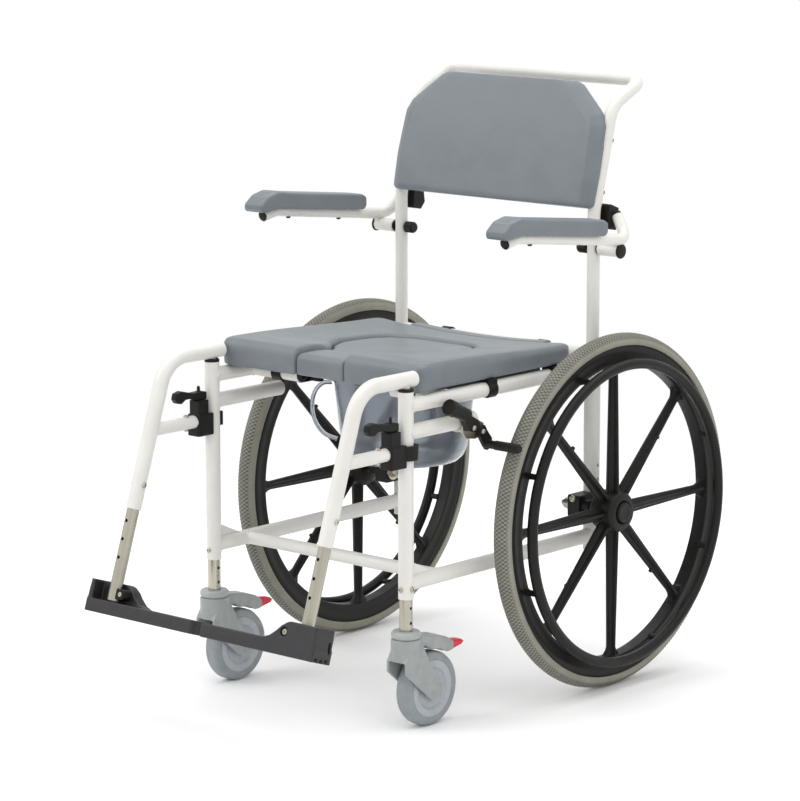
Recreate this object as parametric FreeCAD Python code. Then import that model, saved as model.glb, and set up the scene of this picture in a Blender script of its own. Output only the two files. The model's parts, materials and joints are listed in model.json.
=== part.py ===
import FreeCAD, Part
import math
import os

from FreeCAD import Vector

# A self-propelled shower and commode chair. Millimetres, +Z up, +X to the sitter's left, the chair
# faces -Y. Lengths along Y are measured from the front posts until export, where everything is moved
# back by row_origin_y so that the origin is the middle of the footprint, on the floor.

row_origin_y = 236.25

# frame tubes
tube_radius = 12.7
tube_wall = 1.8
thin_tube_radius = 11.0
rear_post_radius = 14.0
front_post_x = 218.5
rear_post_x = 218.0
rear_post_y = 484.0
post_bottom_z = 221.0
post_screw_height = 17.0
front_post_top_z = 563.0
rear_sleeve_top_z = 562.0
seat_rail_z = 540.0
stub_rail_z = 495.5
stub_rail_end_y = 166.0
lower_rail_z = 246.0
lower_cross_y = 80.0
rear_cross_z = 561.5
seat_stub_y = 100.0
seat_stub_end_x = 104.0

# back tube and push bar
cane_bend_z = 806.0
cane_top_y = 531.0
cane_top_z = 983.0
push_bar_y = 614.0
push_bar_z = 1022.0
push_bar_bend = 26.0
back_lean = 15.0

# rear wheels
wheel_radius = 305.0
wheel_x = 292.0
axle_y = 447.0
tyre_section = 16.0
rim_outer = 277.0
rim_inner = 241.0
rim_half_width = 13.0
spoke_count = 8
hub_radius = 34.0
hub_inner_x = 262.0
hub_outer_x = 317.0
handrim_radius = 258.5
handrim_section = 9.0
handrim_x = 323.0
bearing_radius = 14.0
axle_radius = 6.0
axle_tip_x = 184.0

# casters
caster_radius = 62.5
caster_trail = 50.0
caster_tread_half = 15.0
caster_hub_radius = 47.0
fork_half_gap = 17.5
fork_half_width = 22.0
fork_head_radius = 25.0
fork_top_z = 155.5
stem_radius = 10.9
pedal_pivot_y = 90.0
pedal_pivot_z = 125.0

# legrests
leg_x = 216.5
leg_slant = 18.5
leg_top_z = 581.5
leg_tube_end_y = -191.0
leg_tube_end_z = 339.0
leg_bend_radius = 60.0
leg_back_end_y = 21.0
leg_peg_radius = 7.0
leg_peg_bottom_z = 541.0
leg_stub_z = 466.0
leg_inner_radius = 10.6
leg_screw_height = 40.0
stub_screw_y = -65.5
latch_pin_y = -35.0

# footplates, local to the foot of the leg tube
plate_point_z = 215.0
footplate_outer = 51.0
footplate_inner = 199.0
footplate_depth = 45.0
footplate_floor = -49.5
footplate_tread = -27.0
hump_top = 5.0
tube_to_open_side = 12.0
plate_pivot_inboard = 19.0
plate_pivot_height = -12.0
plate_pin_radius = 4.0

# wheel lock
brake_plate_x = 238.0
brake_pivot_y = 130.0
brake_pivot_z = 489.0
shoe_pivot_y = 160.0
shoe_pivot_z = 478.0

# armrests
arm_x = 272.0
arm_radius = 10.0
arm_pivot_z = 745.0
arm_pad_half_width = 22.0
arm_screw_places = (247.0, 376.5)

# seat
seat_half_width = 226.0
seat_front_y = 29.0
seat_rear_y = 426.0
seat_tongue_half_width = 150.0
seat_tongue_y = 457.0
seat_bottom_z = 558.0
seat_top_z = 600.0
plug_half_width = 54.0
plug_oval_half_width = 108.0
plug_rear_y = 352.0

# commode pan
pan_y = 245.0
pan_rim_radius = 127.0
pan_rim_top_z = 547.5
pan_bottom_z = 385.0
pan_wall = 2.6

running_clearance = 0.05
body_gap = 0.4

x_axis = Vector(1, 0, 0)
y_axis = Vector(0, 1, 0)
z_axis = Vector(0, 0, 1)
origin = Vector(0, 0, 0)


# ---- shape helpers ----

def cylinder(start, end, radius):
    direction = end.sub(start)
    return Part.makeCylinder(radius, direction.Length, start, direction)


def hollow(start, end, radius, wall):
    return cylinder(start, end, radius).cut(cylinder(start, end, radius - wall))


def block(x0, x1, y0, y1, z0, z1):
    return Part.makeBox(x1 - x0, y1 - y0, z1 - z0, Vector(x0, y0, z0))


def rounded_path(points, radii):
    """Straight runs joined by tangent arcs; radii has one entry for each inner point."""
    edges = []
    last = points[0]
    for index, radius in enumerate(radii):
        corner = points[index + 1]
        back = points[index].sub(corner).normalize()
        ahead = points[index + 2].sub(corner).normalize()
        half_angle = back.getAngle(ahead) / 2
        reach = radius / math.tan(half_angle)
        middle_reach = radius / math.sin(half_angle) - radius
        arc_start = corner.add(Vector(back).multiply(reach))
        arc_end = corner.add(Vector(ahead).multiply(reach))
        bisector = back.add(ahead).normalize()
        arc_middle = corner.add(Vector(bisector).multiply(middle_reach))
        edges.append(Part.LineSegment(last, arc_start).toShape())
        edges.append(Part.Arc(arc_start, arc_middle, arc_end).toShape())
        last = arc_end
    edges.append(Part.LineSegment(last, points[-1]).toShape())
    return Part.Wire(edges)


def swept_rod(points, radii, radius):
    path = rounded_path(points, radii)
    start_direction = points[1].sub(points[0])
    profile = Part.Wire(Part.makeCircle(radius, points[0], start_direction))
    return path.makePipeShell([profile], True, True)


def swept_tube(points, radii, radius, wall):
    return swept_rod(points, radii, radius).cut(swept_rod(points, radii, radius - wall))


def prism(outline, direction):
    return Part.Face(Part.makePolygon(outline + [outline[0]])).extrude(direction)


def side_prism(outline_yz, x0, x1):
    """A flat outline in the side view, extruded across the chair."""
    return prism([Vector(x0, y, z) for y, z in outline_yz], Vector(x1 - x0, 0, 0))


def plan_prism(outline_xy, z0, z1):
    return prism([Vector(x, y, z0) for x, y in outline_xy], Vector(0, 0, z1 - z0))


def revolved(outline, centre, axis):
    """Outline points are (distance along the axis, radius)."""
    aside = x_axis if abs(axis.z) > 0.9 else z_axis
    radial = aside.sub(Vector(axis).multiply(aside.dot(axis))).normalize()
    points = []
    for along, radius in outline:
        points.append(centre.add(Vector(axis).multiply(along)).add(Vector(radial).multiply(radius)))
    return Part.Face(Part.makePolygon(points + [points[0]])).revolve(centre, axis, 360)


def mirrored(shape):
    return shape.mirror(origin, x_axis)


def both_sides(shape):
    return Part.makeCompound([shape, mirrored(shape)])


def cut_all(shape, tools):
    for tool in tools:
        shape = shape.cut(tool)
    return shape


def softened(shape, radius, wanted):
    """Rounds the edges that the test picks out; an edge that can't be rounded is left sharp."""
    edges = [edge for edge in shape.Edges if wanted(edge)]
    try:
        rounded = shape.makeFillet(radius, edges)
    except Part.OCCError:
        return shape
    return rounded if rounded.isValid() and rounded.Volume > 0 else shape


def export(name, shape):
    moved = shape.copy()
    moved.translate(Vector(0, -row_origin_y, 0))
    moved.exportStep("parts/" + name + ".step")
    bounds.append(moved.BoundBox)


# ---- frame ----

def front_post_solid():
    return cylinder(Vector(front_post_x, 0, post_bottom_z), Vector(front_post_x, 0, front_post_top_z),
                    tube_radius)


def front_post():
    start = Vector(front_post_x, 0, post_bottom_z)
    post = hollow(start, Vector(front_post_x, 0, front_post_top_z), tube_radius, tube_wall)
    screw_start = Vector(front_post_x, 0, post_bottom_z + post_screw_height)
    holes = [cylinder(screw_start, screw_start.add(Vector(direction).multiply(20)), 2.3)
             for direction in (x_axis, Vector(0, -1, 0))]
    return cut_all(post, holes)


def rear_post_solid():
    start = Vector(rear_post_x, rear_post_y, post_bottom_z)
    return cylinder(start, Vector(rear_post_x, rear_post_y, rear_sleeve_top_z), rear_post_radius)


def rear_post():
    sleeve_bore = thin_tube_radius + 0.2
    start = Vector(rear_post_x, rear_post_y, post_bottom_z)
    end = Vector(rear_post_x, rear_post_y, rear_sleeve_top_z)
    post = rear_post_solid().cut(cylinder(start, end, sleeve_bore))
    hole_spacing = 25.0
    for step in range(2):
        hole_z = 345.0 + step * hole_spacing
        hole_start = Vector(rear_post_x, rear_post_y, hole_z)
        post = post.cut(cylinder(hole_start, hole_start.add(Vector(20, 0, 0)), 3.2))
    return post


def back_tube():
    """One bent tube: up one side, back along the handle, across, and down the other side."""
    cane_start_z = 300.0
    side = [(rear_post_y, cane_start_z), (rear_post_y, cane_bend_z), (cane_top_y, cane_top_z),
            (push_bar_y, push_bar_z)]
    points = [Vector(rear_post_x, y, z) for y, z in side]
    points += [Vector(-rear_post_x, y, z) for y, z in reversed(side)]
    radii = [70.0, 50.0, push_bar_bend, push_bar_bend, 50.0, 70.0]
    tube = swept_tube(points, radii, thin_tube_radius, tube_wall)
    pivot_hole = cylinder(Vector(-260, rear_post_y, arm_pivot_z), Vector(260, rear_post_y, arm_pivot_z), 4.2)
    return tube.cut(pivot_hole)


def side_rail(z, end_y, radius):
    rail = hollow(Vector(front_post_x, 0, z), Vector(front_post_x, end_y, z), radius, tube_wall)
    return cut_all(rail, [front_post_solid(), rear_post_solid()])


def lower_cross_tube():
    tube = hollow(Vector(-front_post_x, lower_cross_y, lower_rail_z),
                  Vector(front_post_x, lower_cross_y, lower_rail_z),
                  thin_tube_radius, tube_wall)
    rails = [cylinder(Vector(side * front_post_x, 0, lower_rail_z),
                      Vector(side * front_post_x, rear_post_y, lower_rail_z),
                      tube_radius) for side in (-1, 1)]
    return cut_all(tube, rails)


def rear_cross_tube():
    """Ties the side frames behind the seat; its ends are let into the rear tubes."""
    tube = hollow(Vector(-rear_post_x, rear_post_y, rear_cross_z),
                  Vector(rear_post_x, rear_post_y, rear_cross_z),
                  thin_tube_radius, tube_wall)
    uprights = [cylinder(Vector(side * rear_post_x, rear_post_y, post_bottom_z),
                         Vector(side * rear_post_x, rear_post_y, 700),
                         thin_tube_radius) for side in (-1, 1)]
    return cut_all(tube, uprights + [rear_post_solid(), mirrored(rear_post_solid())])


def seat_stub():
    """A short tube from the side rail towards the middle, which carries the front of the seat."""
    rail = cylinder(Vector(front_post_x, 0, seat_rail_z), Vector(front_post_x, rear_post_y, seat_rail_z),
                    tube_radius)
    stub = hollow(Vector(seat_stub_end_x, seat_stub_y, seat_rail_z),
                  Vector(front_post_x, seat_stub_y, seat_rail_z),
                  tube_radius, tube_wall)
    return stub.cut(rail)


def gusset():
    """The thin triangular web in the corner of the front post and the lower rail."""
    web_half_thickness = 2.0
    web = side_prism([(0, lower_rail_z), (88, lower_rail_z), (0, lower_rail_z + 40)],
                     front_post_x - web_half_thickness, front_post_x + web_half_thickness)
    rail = cylinder(Vector(front_post_x, 0, lower_rail_z), Vector(front_post_x, 200, lower_rail_z),
                    tube_radius)
    return cut_all(web, [rail, front_post_solid()])


def domed_plug(centre, direction, radius, dome):
    """A push-in end plug: a shallow dome outside, a short spigot inside the tube."""
    outward = Vector(direction).normalize()
    cap = revolved([(0, 0), (dome, 0), (dome * 0.86, radius * 0.5), (dome * 0.45, radius * 0.86),
                    (0, radius)],
                   centre, outward)
    spigot = cylinder(centre.sub(Vector(outward).multiply(9)), centre, radius - tube_wall - 0.1)
    return cap.fuse(spigot)


def tube_plugs():
    plugs = [domed_plug(Vector(seat_stub_end_x, seat_stub_y, seat_rail_z), Vector(-1, 0, 0), tube_radius,
                        7.0)]
    plugs.append(domed_plug(Vector(front_post_x, stub_rail_end_y, stub_rail_z), y_axis, tube_radius, 4.0))
    plugs.append(post_cap())
    plugs.append(rear_post_collar())
    return both_sides(Part.makeCompound(plugs))


def post_cap():
    """The black bearing on top of a front post, with the peg that the legrest turns on."""
    flange = revolved([(0, 0), (0, tube_radius), (3.8, tube_radius), (5.3, tube_radius - 1.5), (5.3, 0)],
                      Vector(front_post_x, 0, front_post_top_z), z_axis)
    spigot = cylinder(Vector(front_post_x, 0, front_post_top_z - 25),
                      Vector(front_post_x, 0, front_post_top_z),
                      tube_radius - tube_wall - 0.1)
    peg_space = cylinder(Vector(front_post_x, 0, leg_peg_bottom_z - 1),
                         Vector(front_post_x, 0, front_post_top_z + 9),
                         leg_peg_radius + running_clearance)
    return flange.fuse(spigot).cut(peg_space)


def rear_post_collar():
    outer = cylinder(Vector(rear_post_x, rear_post_y, rear_sleeve_top_z - 26),
                     Vector(rear_post_x, rear_post_y, rear_sleeve_top_z),
                     rear_post_radius + 3.0)
    bore = cylinder(Vector(rear_post_x, rear_post_y, 400), Vector(rear_post_x, rear_post_y, 620),
                    rear_post_radius + 0.1)
    front_half = block(rear_post_x - 40, rear_post_x + 40, rear_post_y - 40, rear_post_y + 2, 400, 620)
    cross_space = cylinder(Vector(rear_post_x - 60, rear_post_y, rear_cross_z),
                           Vector(rear_post_x, rear_post_y, rear_cross_z), thin_tube_radius + 0.1)
    return cut_all(outer, [bore, front_half, cross_space])


def pan_head_screw(point, direction, radius, shank):
    """Head on the outside of the point, shank inward from it."""
    outward = Vector(direction).normalize()
    head = revolved([(0, 0), (0, radius), (radius * 0.35, radius * 0.92), (radius * 0.7, radius * 0.5),
                     (radius * 0.78, 0)],
                    point, outward)
    body = cylinder(point.sub(Vector(outward).multiply(shank)), point, radius * 0.5)
    socket = cylinder(point.add(Vector(outward).multiply(radius * 0.4)),
                      point.add(Vector(outward).multiply(radius)),
                      radius * 0.33)
    return head.fuse(body).cut(socket)


def frame_screws():
    """Screws that hold the height-adjusting tubes, and the ones on the rear sleeves."""
    screws = []
    screw_z = post_bottom_z + post_screw_height
    for direction in (x_axis, Vector(0, -1, 0)):
        point = Vector(front_post_x, 0, screw_z).add(Vector(direction).multiply(tube_radius))
        screws.append(pan_head_screw(point, direction, 4.5, tube_wall + 1.0))
    right = [mirrored(screw) for screw in screws]
    for y, z, seat_x in ((brake_pivot_y, brake_pivot_z, brake_plate_x + 14.6),
                         (shoe_pivot_y, shoe_pivot_z, brake_plate_x + 8.6)):
        screws.append(pan_head_screw(Vector(seat_x, y, z), x_axis, 4.5, seat_x - brake_plate_x + 6.5))
    clamp_bolts = both_sides(axle_clamp_bolt())
    return Part.makeCompound(screws + right + [clamp_bolts])


def caster_stem():
    """The plated tube that slides in the front post, with its row of setting holes."""
    stem = hollow(Vector(front_post_x, 0, fork_top_z + 8.5), Vector(front_post_x, 0, post_bottom_z + 70),
                  stem_radius, 1.6)
    hole_pitch = 25.0
    for index in range(3):
        centre = Vector(front_post_x, 0, 181.5 + hole_pitch * index)
        stem = stem.cut(cylinder(centre.sub(Vector(20, 0, 0)), centre.add(Vector(20, 0, 0)), 2.6))
    for direction in (x_axis, Vector(0, -1, 0)):
        start = Vector(front_post_x, 0, post_bottom_z + post_screw_height)
        stem = stem.cut(cylinder(start, start.add(Vector(direction).multiply(20)), 2.6))
    return stem


def caster_collar():
    """The pale cover of the swivel bearing, fixed to the stem, and the bolt that the fork turns on."""
    bolt = cylinder(Vector(front_post_x, 0, 122), Vector(front_post_x, 0, fork_top_z + 3), 3.95)
    return bolt.fuse(revolved([(0, 0), (0, 22.5), (2.5, 24.6), (8.5, 24.6), (11.5, 22.0),
                               (11.5, stem_radius + 0.1),
                     (8.0, stem_radius + 0.1), (8.0, 0)],
                    Vector(front_post_x, 0, fork_top_z + 0.4), z_axis))


# ---- rear wheel carriers ----

def axle_bracket():
    """The block that clamps round the rear post and holds the axle in front of it."""
    bracket = block(rear_post_x - 9, rear_post_x + 16, axle_y - 17, rear_post_y + 19, wheel_radius - 19,
                    wheel_radius + 19)
    bracket = softened(bracket, 4.0, lambda edge: abs(edge.Length - 25.0) < 0.1)
    post = cylinder(Vector(rear_post_x, rear_post_y, 200), Vector(rear_post_x, rear_post_y, 400),
                    rear_post_radius + 0.1)
    bore = cylinder(Vector(150, axle_y, wheel_radius), Vector(300, axle_y, wheel_radius), axle_radius + 0.1)
    boss = cylinder(Vector(rear_post_x + 16, axle_y, wheel_radius),
                    Vector(rear_post_x + 32, axle_y, wheel_radius), 13)
    bolt = cylinder(Vector(rear_post_x + 2, axle_y - 40, wheel_radius + 13),
                    Vector(rear_post_x + 2, rear_post_y, wheel_radius + 13), 3.3)
    return cut_all(bracket.fuse(boss), [post, bore, bolt])


def axle():
    """Axle, washer, lock nut and rounded tip."""
    centre = Vector(0, axle_y, wheel_radius)
    outline = [(axle_tip_x, 0), (axle_tip_x, 3.0), (axle_tip_x + 2, 5.0), (axle_tip_x + 8, axle_radius),
               (axle_tip_x + 9, 9.5), (axle_tip_x + 19, 9.5), (axle_tip_x + 19, 10.6),
               (axle_tip_x + 20.6, 10.6),
               (axle_tip_x + 20.6, 14.5), (rear_post_x - 9.1, 14.5), (rear_post_x - 9.1, axle_radius),
               (hub_outer_x - 9, axle_radius), (hub_outer_x - 9, 0)]
    shaft = revolved(outline, centre, x_axis)
    nut_outside = cylinder(Vector(axle_tip_x + 9, axle_y, wheel_radius),
                           Vector(axle_tip_x + 19, axle_y, wheel_radius), 12)
    nut = hexagon_x(axle_tip_x + 9, axle_tip_x + 19, 8.9)
    return shaft.cut(nut_outside.cut(nut))


def hexagon_x(x0, x1, flat_radius):
    corner = flat_radius / math.cos(math.pi / 6)
    points = []
    for index in range(6):
        angle = math.pi / 3 * index
        points.append(Vector(x0, axle_y + corner * math.cos(angle), wheel_radius + corner * math.sin(angle)))
    return prism(points, Vector(x1 - x0, 0, 0))


def axle_clamp_bolt():
    front = Vector(rear_post_x + 2, axle_y - 17, wheel_radius + 13)
    return pan_head_screw(front, Vector(0, -1, 0), 6.0, 18)


def wheel_bearings():
    """Two ball bearings, drawn as plain rings, between the axle and the hub."""
    rings = []
    for x0 in (hub_inner_x + 2, hub_outer_x - 20):
        outer = cylinder(Vector(x0, axle_y, wheel_radius), Vector(x0 + 8, axle_y, wheel_radius),
                         bearing_radius - running_clearance)
        inner = cylinder(Vector(x0 - 1, axle_y, wheel_radius), Vector(x0 + 9, axle_y, wheel_radius),
                         axle_radius + 0.01)
        rings.append(outer.cut(inner))
    return Part.makeCompound(rings)


# ---- rear wheel ----

def tyre():
    centre = Vector(wheel_x, axle_y, wheel_radius)
    outline = []
    section_centre = wheel_radius - tyre_section
    steps = 28
    for step in range(steps):
        angle = 2 * math.pi * step / steps
        outline.append((tyre_section * math.cos(angle), section_centre + tyre_section * math.sin(angle)))
    body = revolved(outline, centre, x_axis)
    rim_space = cylinder(Vector(wheel_x - 30, axle_y, wheel_radius),
                         Vector(wheel_x + 30, axle_y, wheel_radius), rim_outer)
    return body.cut(rim_space)


def spoke():
    """A tapered flat arm with a rib down both faces, drawn straight up from the axle."""
    root_half, tip_half = 13.0, 7.0
    root_z, tip_z = wheel_radius + hub_radius - 8, wheel_radius + rim_inner + 3
    flare_z = tip_z - 16
    web = [(-root_half, root_z), (root_half, root_z), (tip_half, flare_z), (tip_half + 12, tip_z + 1),
           (-tip_half - 12, tip_z + 1), (-tip_half, flare_z)]
    web = [(axle_y + y, z) for y, z in web]
    flat = side_prism(web, wheel_x - 4.0, wheel_x + 4.0)
    rib_points = [(wheel_x - 13.5, root_z), (wheel_x + 15.0, root_z), (wheel_x + 8.5, tip_z),
                  (wheel_x - 8.5, tip_z)]
    rib = prism([Vector(x, axle_y - 3.0, z) for x, z in rib_points], Vector(0, 6.0, 0))
    return flat.fuse(rib)


def wheel():
    centre = Vector(wheel_x, axle_y, wheel_radius)
    rim_outline = [(-rim_half_width, rim_outer - 0.2), (-rim_half_width, rim_outer - 8),
                   (-10, rim_outer - 14),
                   (-8, rim_inner + 6), (-6, rim_inner), (6, rim_inner), (8, rim_inner + 6),
                   (10, rim_outer - 14),
                   (rim_half_width, rim_outer - 8), (rim_half_width, rim_outer - 0.2)]
    rim = revolved(rim_outline, centre, x_axis)
    hub_outline = [(hub_inner_x, 0), (hub_inner_x, 24), (hub_inner_x + 8, hub_radius),
                   (hub_outer_x - 8, hub_radius),
                   (hub_outer_x - 2, hub_radius - 4), (hub_outer_x, hub_radius - 10), (hub_outer_x, 0)]
    shape = revolved(hub_outline, Vector(0, axle_y, wheel_radius), x_axis).fuse(rim)
    arms = []
    for index in range(spoke_count):
        arm = spoke()
        arm.rotate(centre, x_axis, 360.0 / spoke_count * index)
        arms.append(arm)
    shape = shape.multiFuse(arms)
    axle_space = cylinder(Vector(hub_inner_x - 1, axle_y, wheel_radius),
                          Vector(hub_outer_x - 6, axle_y, wheel_radius),
                          axle_radius + 1.5)
    cap_space = cylinder(Vector(hub_outer_x - 7, axle_y, wheel_radius),
                         Vector(hub_outer_x + 5, axle_y, wheel_radius), 18)
    bearing_spaces = [cylinder(Vector(x0, axle_y, wheel_radius), Vector(x0 + length, axle_y, wheel_radius),
                               bearing_radius)
                      for x0, length in ((hub_inner_x - 1, 11.5), (hub_outer_x - 20.5, 20))]
    return cut_all(shape, [axle_space, cap_space] + bearing_spaces).removeSplitter()


def handrim():
    """The push ring with its eight short legs, which stand on the rim midway between the spokes."""
    centre = Vector(handrim_x, axle_y, wheel_radius)
    ring = Part.makeTorus(handrim_radius, handrim_section, centre, x_axis)
    legs = []
    for index in range(spoke_count):
        leg_bottom_x = wheel_x + 10.2
        leg = block(leg_bottom_x, handrim_x - 2, axle_y - 5.5, axle_y + 5.5,
                    wheel_radius + rim_inner + 8, wheel_radius + handrim_radius - 3)
        leg.rotate(centre, x_axis, 360.0 / spoke_count * (index + 0.5))
        legs.append(leg)
    return ring.multiFuse(legs)


def hub_cap():
    outline = [(-5.8, 0), (-5.8, 17.8), (1.0, 17.8), (3.0, 16.5), (4.0, 13), (4.6, 0)]
    return revolved(outline, Vector(hub_outer_x, axle_y, wheel_radius), x_axis)


# ---- casters, drawn on the sitter's left, trailing to the rear ----

def caster_fork():
    x = front_post_x
    head = revolved([(95 - fork_top_z, 0), (95 - fork_top_z, fork_head_radius - 3), (-40, fork_head_radius),
                     (-2, fork_head_radius), (0, fork_head_radius - 2), (0, 0)], Vector(x, 0, fork_top_z),
                     z_axis)
    sides = [(-24, 118), (-24, 100), (caster_trail - 9, 45), (caster_trail, 43), (caster_trail + 12, 47),
             (caster_trail + 17, 56), (caster_trail + 17, 68), (36, 110), (20, 140), (-10, 140)]
    arms = side_prism(sides, x - fork_half_width, x + fork_half_width)
    tail = [(10, fork_top_z), (34, fork_top_z + 0.5), (62, 152), (88, 143), (103, 134), (103, 120),
            (88, 117),
            (64, 121), (46, 130), (30, 139), (10, 120)]
    tail_solid = side_prism(tail, x - 15, x + 15)
    tail_solid = softened(tail_solid, 4.0,
                          lambda edge: abs(edge.BoundBox.XLength) < 0.1 and edge.CenterOfMass.z > 134)
    shape = head.fuse(arms).fuse(tail_solid)
    tunnel = block(x - fork_half_gap, x + fork_half_gap, -60, 150, 0, 118)
    wheel_space = cylinder(Vector(x - fork_half_gap, caster_trail, caster_radius),
                           Vector(x + fork_half_gap, caster_trail, caster_radius), caster_radius + 3.5)
    pedal_slot = block(x - 9.5, x + 9.5, 70, 140, 116, 132)
    stem_space = cylinder(Vector(x, 0, 118), Vector(x, 0, fork_top_z + 1), 4.0)
    shape = cut_all(shape, [tunnel, wheel_space, pedal_slot, stem_space])
    axle_bolt = cylinder(Vector(x - fork_half_width - 1.5, caster_trail, caster_radius),
                         Vector(x + fork_half_width + 1.5, caster_trail, caster_radius), 5.0)
    heads = [cylinder(Vector(x + side * fork_half_width, caster_trail, caster_radius),
                      Vector(x + side * (fork_half_width + 2.5), caster_trail, caster_radius),
                      9.0) for side in (-1, 1)]
    pedal_pin = cylinder(Vector(x - 16.5, pedal_pivot_y, pedal_pivot_z),
                         Vector(x + 16.5, pedal_pivot_y, pedal_pivot_z), 2.5)
    return shape.fuse(axle_bolt).multiFuse(heads + [pedal_pin]).removeSplitter()


def caster_hub():
    centre = Vector(front_post_x, caster_trail, caster_radius)
    outline = [(-15.5, 5.05), (-15.5, 13), (-11, 17), (-11, 32), (-14, 36), (-14, caster_hub_radius),
               (14, caster_hub_radius),
               (14, 36), (11, 32), (11, 17), (15.5, 13), (15.5, 5.05)]
    return revolved(outline, centre, x_axis)


def caster_tread():
    centre = Vector(front_post_x, caster_trail, caster_radius)
    outline = [(-14, caster_hub_radius), (-caster_tread_half, 50), (-caster_tread_half, 55), (-12.5, 60),
               (-8, 62.1),
               (0, caster_radius), (8, 62.1), (12.5, 60), (caster_tread_half, 55), (caster_tread_half, 50),
               (14, caster_hub_radius)]
    return revolved(outline, centre, x_axis)


def caster_pedal():
    """The red foot lever in the tail of the fork; a pin across the tail carries it."""
    x = front_post_x
    outline = [(82, 119.5), (82, 129), (103, 130.5), (116, 132.5), (130, 130.5), (136.5, 126), (130, 121),
               (112, 118)]
    lever = side_prism(outline, x - 9.0, x + 9.0)
    lever = softened(lever, 3.0, lambda edge: edge.CenterOfMass.y > 110 and abs(edge.BoundBox.XLength) < 0.1)
    pin_space = cylinder(Vector(x - 20, pedal_pivot_y, pedal_pivot_z),
                         Vector(x + 20, pedal_pivot_y, pedal_pivot_z),
                         2.5 + running_clearance)
    return lever.cut(pin_space)


# ---- legrests ----

def leg_point(z):
    """Centre of the slanting leg tube at a height."""
    return Vector(leg_x, leg_tube_end_y + (z - leg_tube_end_z) * math.tan(math.radians(leg_slant)), z)


def leg_hanger():
    corner = leg_point(leg_top_z)
    points = [Vector(leg_x, leg_back_end_y, leg_top_z), corner, leg_point(leg_tube_end_z)]
    tube = swept_tube(points, [leg_bend_radius], tube_radius, tube_wall)
    solid_leg = swept_rod(points, [leg_bend_radius], tube_radius)
    stub = hollow(Vector(leg_x, leg_point(leg_stub_z).y, leg_stub_z), Vector(leg_x, -46, leg_stub_z),
                  thin_tube_radius, tube_wall)
    back_plug = revolved([(0, 0), (0, tube_radius - 0.05), (1.2, tube_radius - 1.5), (1.6, 0)],
                         Vector(leg_x, leg_back_end_y, leg_top_z), y_axis)
    peg = cylinder(Vector(front_post_x, 0, leg_peg_bottom_z), Vector(front_post_x, 0, leg_top_z - 9),
                   leg_peg_radius)
    screw_point = leg_point(leg_tube_end_z + leg_screw_height)
    side_hole = cylinder(screw_point.sub(Vector(20, 0, 0)), screw_point.add(Vector(20, 0, 0)), 2.45)
    stub_hole = cylinder(Vector(leg_x, stub_screw_y, leg_stub_z - 20),
                         Vector(leg_x, stub_screw_y, leg_stub_z + 20), 2.35)
    shape = tube.fuse(stub.cut(solid_leg)).fuse(back_plug).fuse(peg)
    return cut_all(shape, [side_hole, stub_hole])


def latch_block():
    """The moulded catch on the end of the stub, with the half ring that bears on the post."""
    x = front_post_x
    body = block(x - 15, x + 13, -48, -10, 441, 478)
    body = softened(body, 4.0, lambda edge: abs(edge.Length - 37.0) < 0.1)
    column = block(x - 13, x + 9, -46, -22, 476, 502)
    ring = cylinder(Vector(x, 0, 452), Vector(x, 0, 476), tube_radius + 8)
    ring = ring.cut(block(x - 40, x - 6, -40, 40, 400, 500))
    post = cylinder(Vector(x, 0, 400), Vector(x, 0, 520), tube_radius + 0.4)
    stub = cylinder(Vector(leg_x, -60, leg_stub_z), Vector(leg_x, -45.9, leg_stub_z),
                    thin_tube_radius + 0.02)
    spigot = cylinder(Vector(leg_x, -72, leg_stub_z), Vector(leg_x, -40, leg_stub_z),
                      thin_tube_radius - tube_wall - 0.1)
    pin_hole = cylinder(Vector(leg_x, latch_pin_y, 470), Vector(leg_x, latch_pin_y, 510), 3.05)
    shape = body.fuse(column).fuse(ring).cut(post).cut(stub).fuse(spigot)
    return shape.cut(pin_hole)


def latch_lever():
    """The hooked thumb lever and its pin."""
    x = leg_x
    arm = side_prism([(-46, 502.5), (-22, 502.5), (-22, 515), (-30, 517), (-52, 516), (-80, 523),
                      (-92, 520), (-95, 510),
                      (-90, 503), (-80, 501), (-70, 507), (-58, 507)], x - 7, x + 7)
    arm = softened(arm, 3.0, lambda edge: abs(edge.BoundBox.XLength) < 0.1 and edge.CenterOfMass.y < -50)
    pin = cylinder(Vector(x, latch_pin_y, 475), Vector(x, latch_pin_y, 522), 3.0)
    tip = revolved([(0, 0), (0, 3.0), (3.5, 2.4), (4.5, 0)], Vector(x, latch_pin_y, 522), z_axis)
    return arm.fuse(pin).fuse(tip)


def leg_extension(left):
    """The plated tube inside the hanger, with its setting holes, and the silver screws of the legrest."""
    bottom = leg_point(plate_point_z - 23)
    top = leg_point(leg_tube_end_z + 55)
    tube = hollow(bottom, top, leg_inner_radius, 1.6)
    down = bottom.sub(top).normalize()
    forward = Vector(0, -math.cos(math.radians(leg_slant)), math.sin(math.radians(leg_slant)))
    outer_end = leg_point(leg_tube_end_z)
    hole_pitch = 31.0
    for index in range(3):
        centre = outer_end.add(Vector(down).multiply(21 + hole_pitch * index))
        tube = tube.cut(cylinder(centre, centre.add(Vector(forward).multiply(20)), 3.0))
    pieces = [tube]
    screw_point = leg_point(leg_tube_end_z + leg_screw_height)
    for side in (-1, 1):
        pieces.append(pan_head_screw(screw_point.add(Vector(side * tube_radius, 0, 0)), Vector(side, 0, 0),
                                     4.8, 1.9))
    for side in (-1, 1):
        point = Vector(leg_x, stub_screw_y, leg_stub_z + side * thin_tube_radius)
        pieces.append(pan_head_screw(point, Vector(0, 0, side), 4.6, 1.7))
    whole = Part.makeCompound(pieces)
    pin, lug = plate_hinge()
    return Part.makeCompound([whole if left else mirrored(whole), placed_at_leg(pin, left)])


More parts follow.
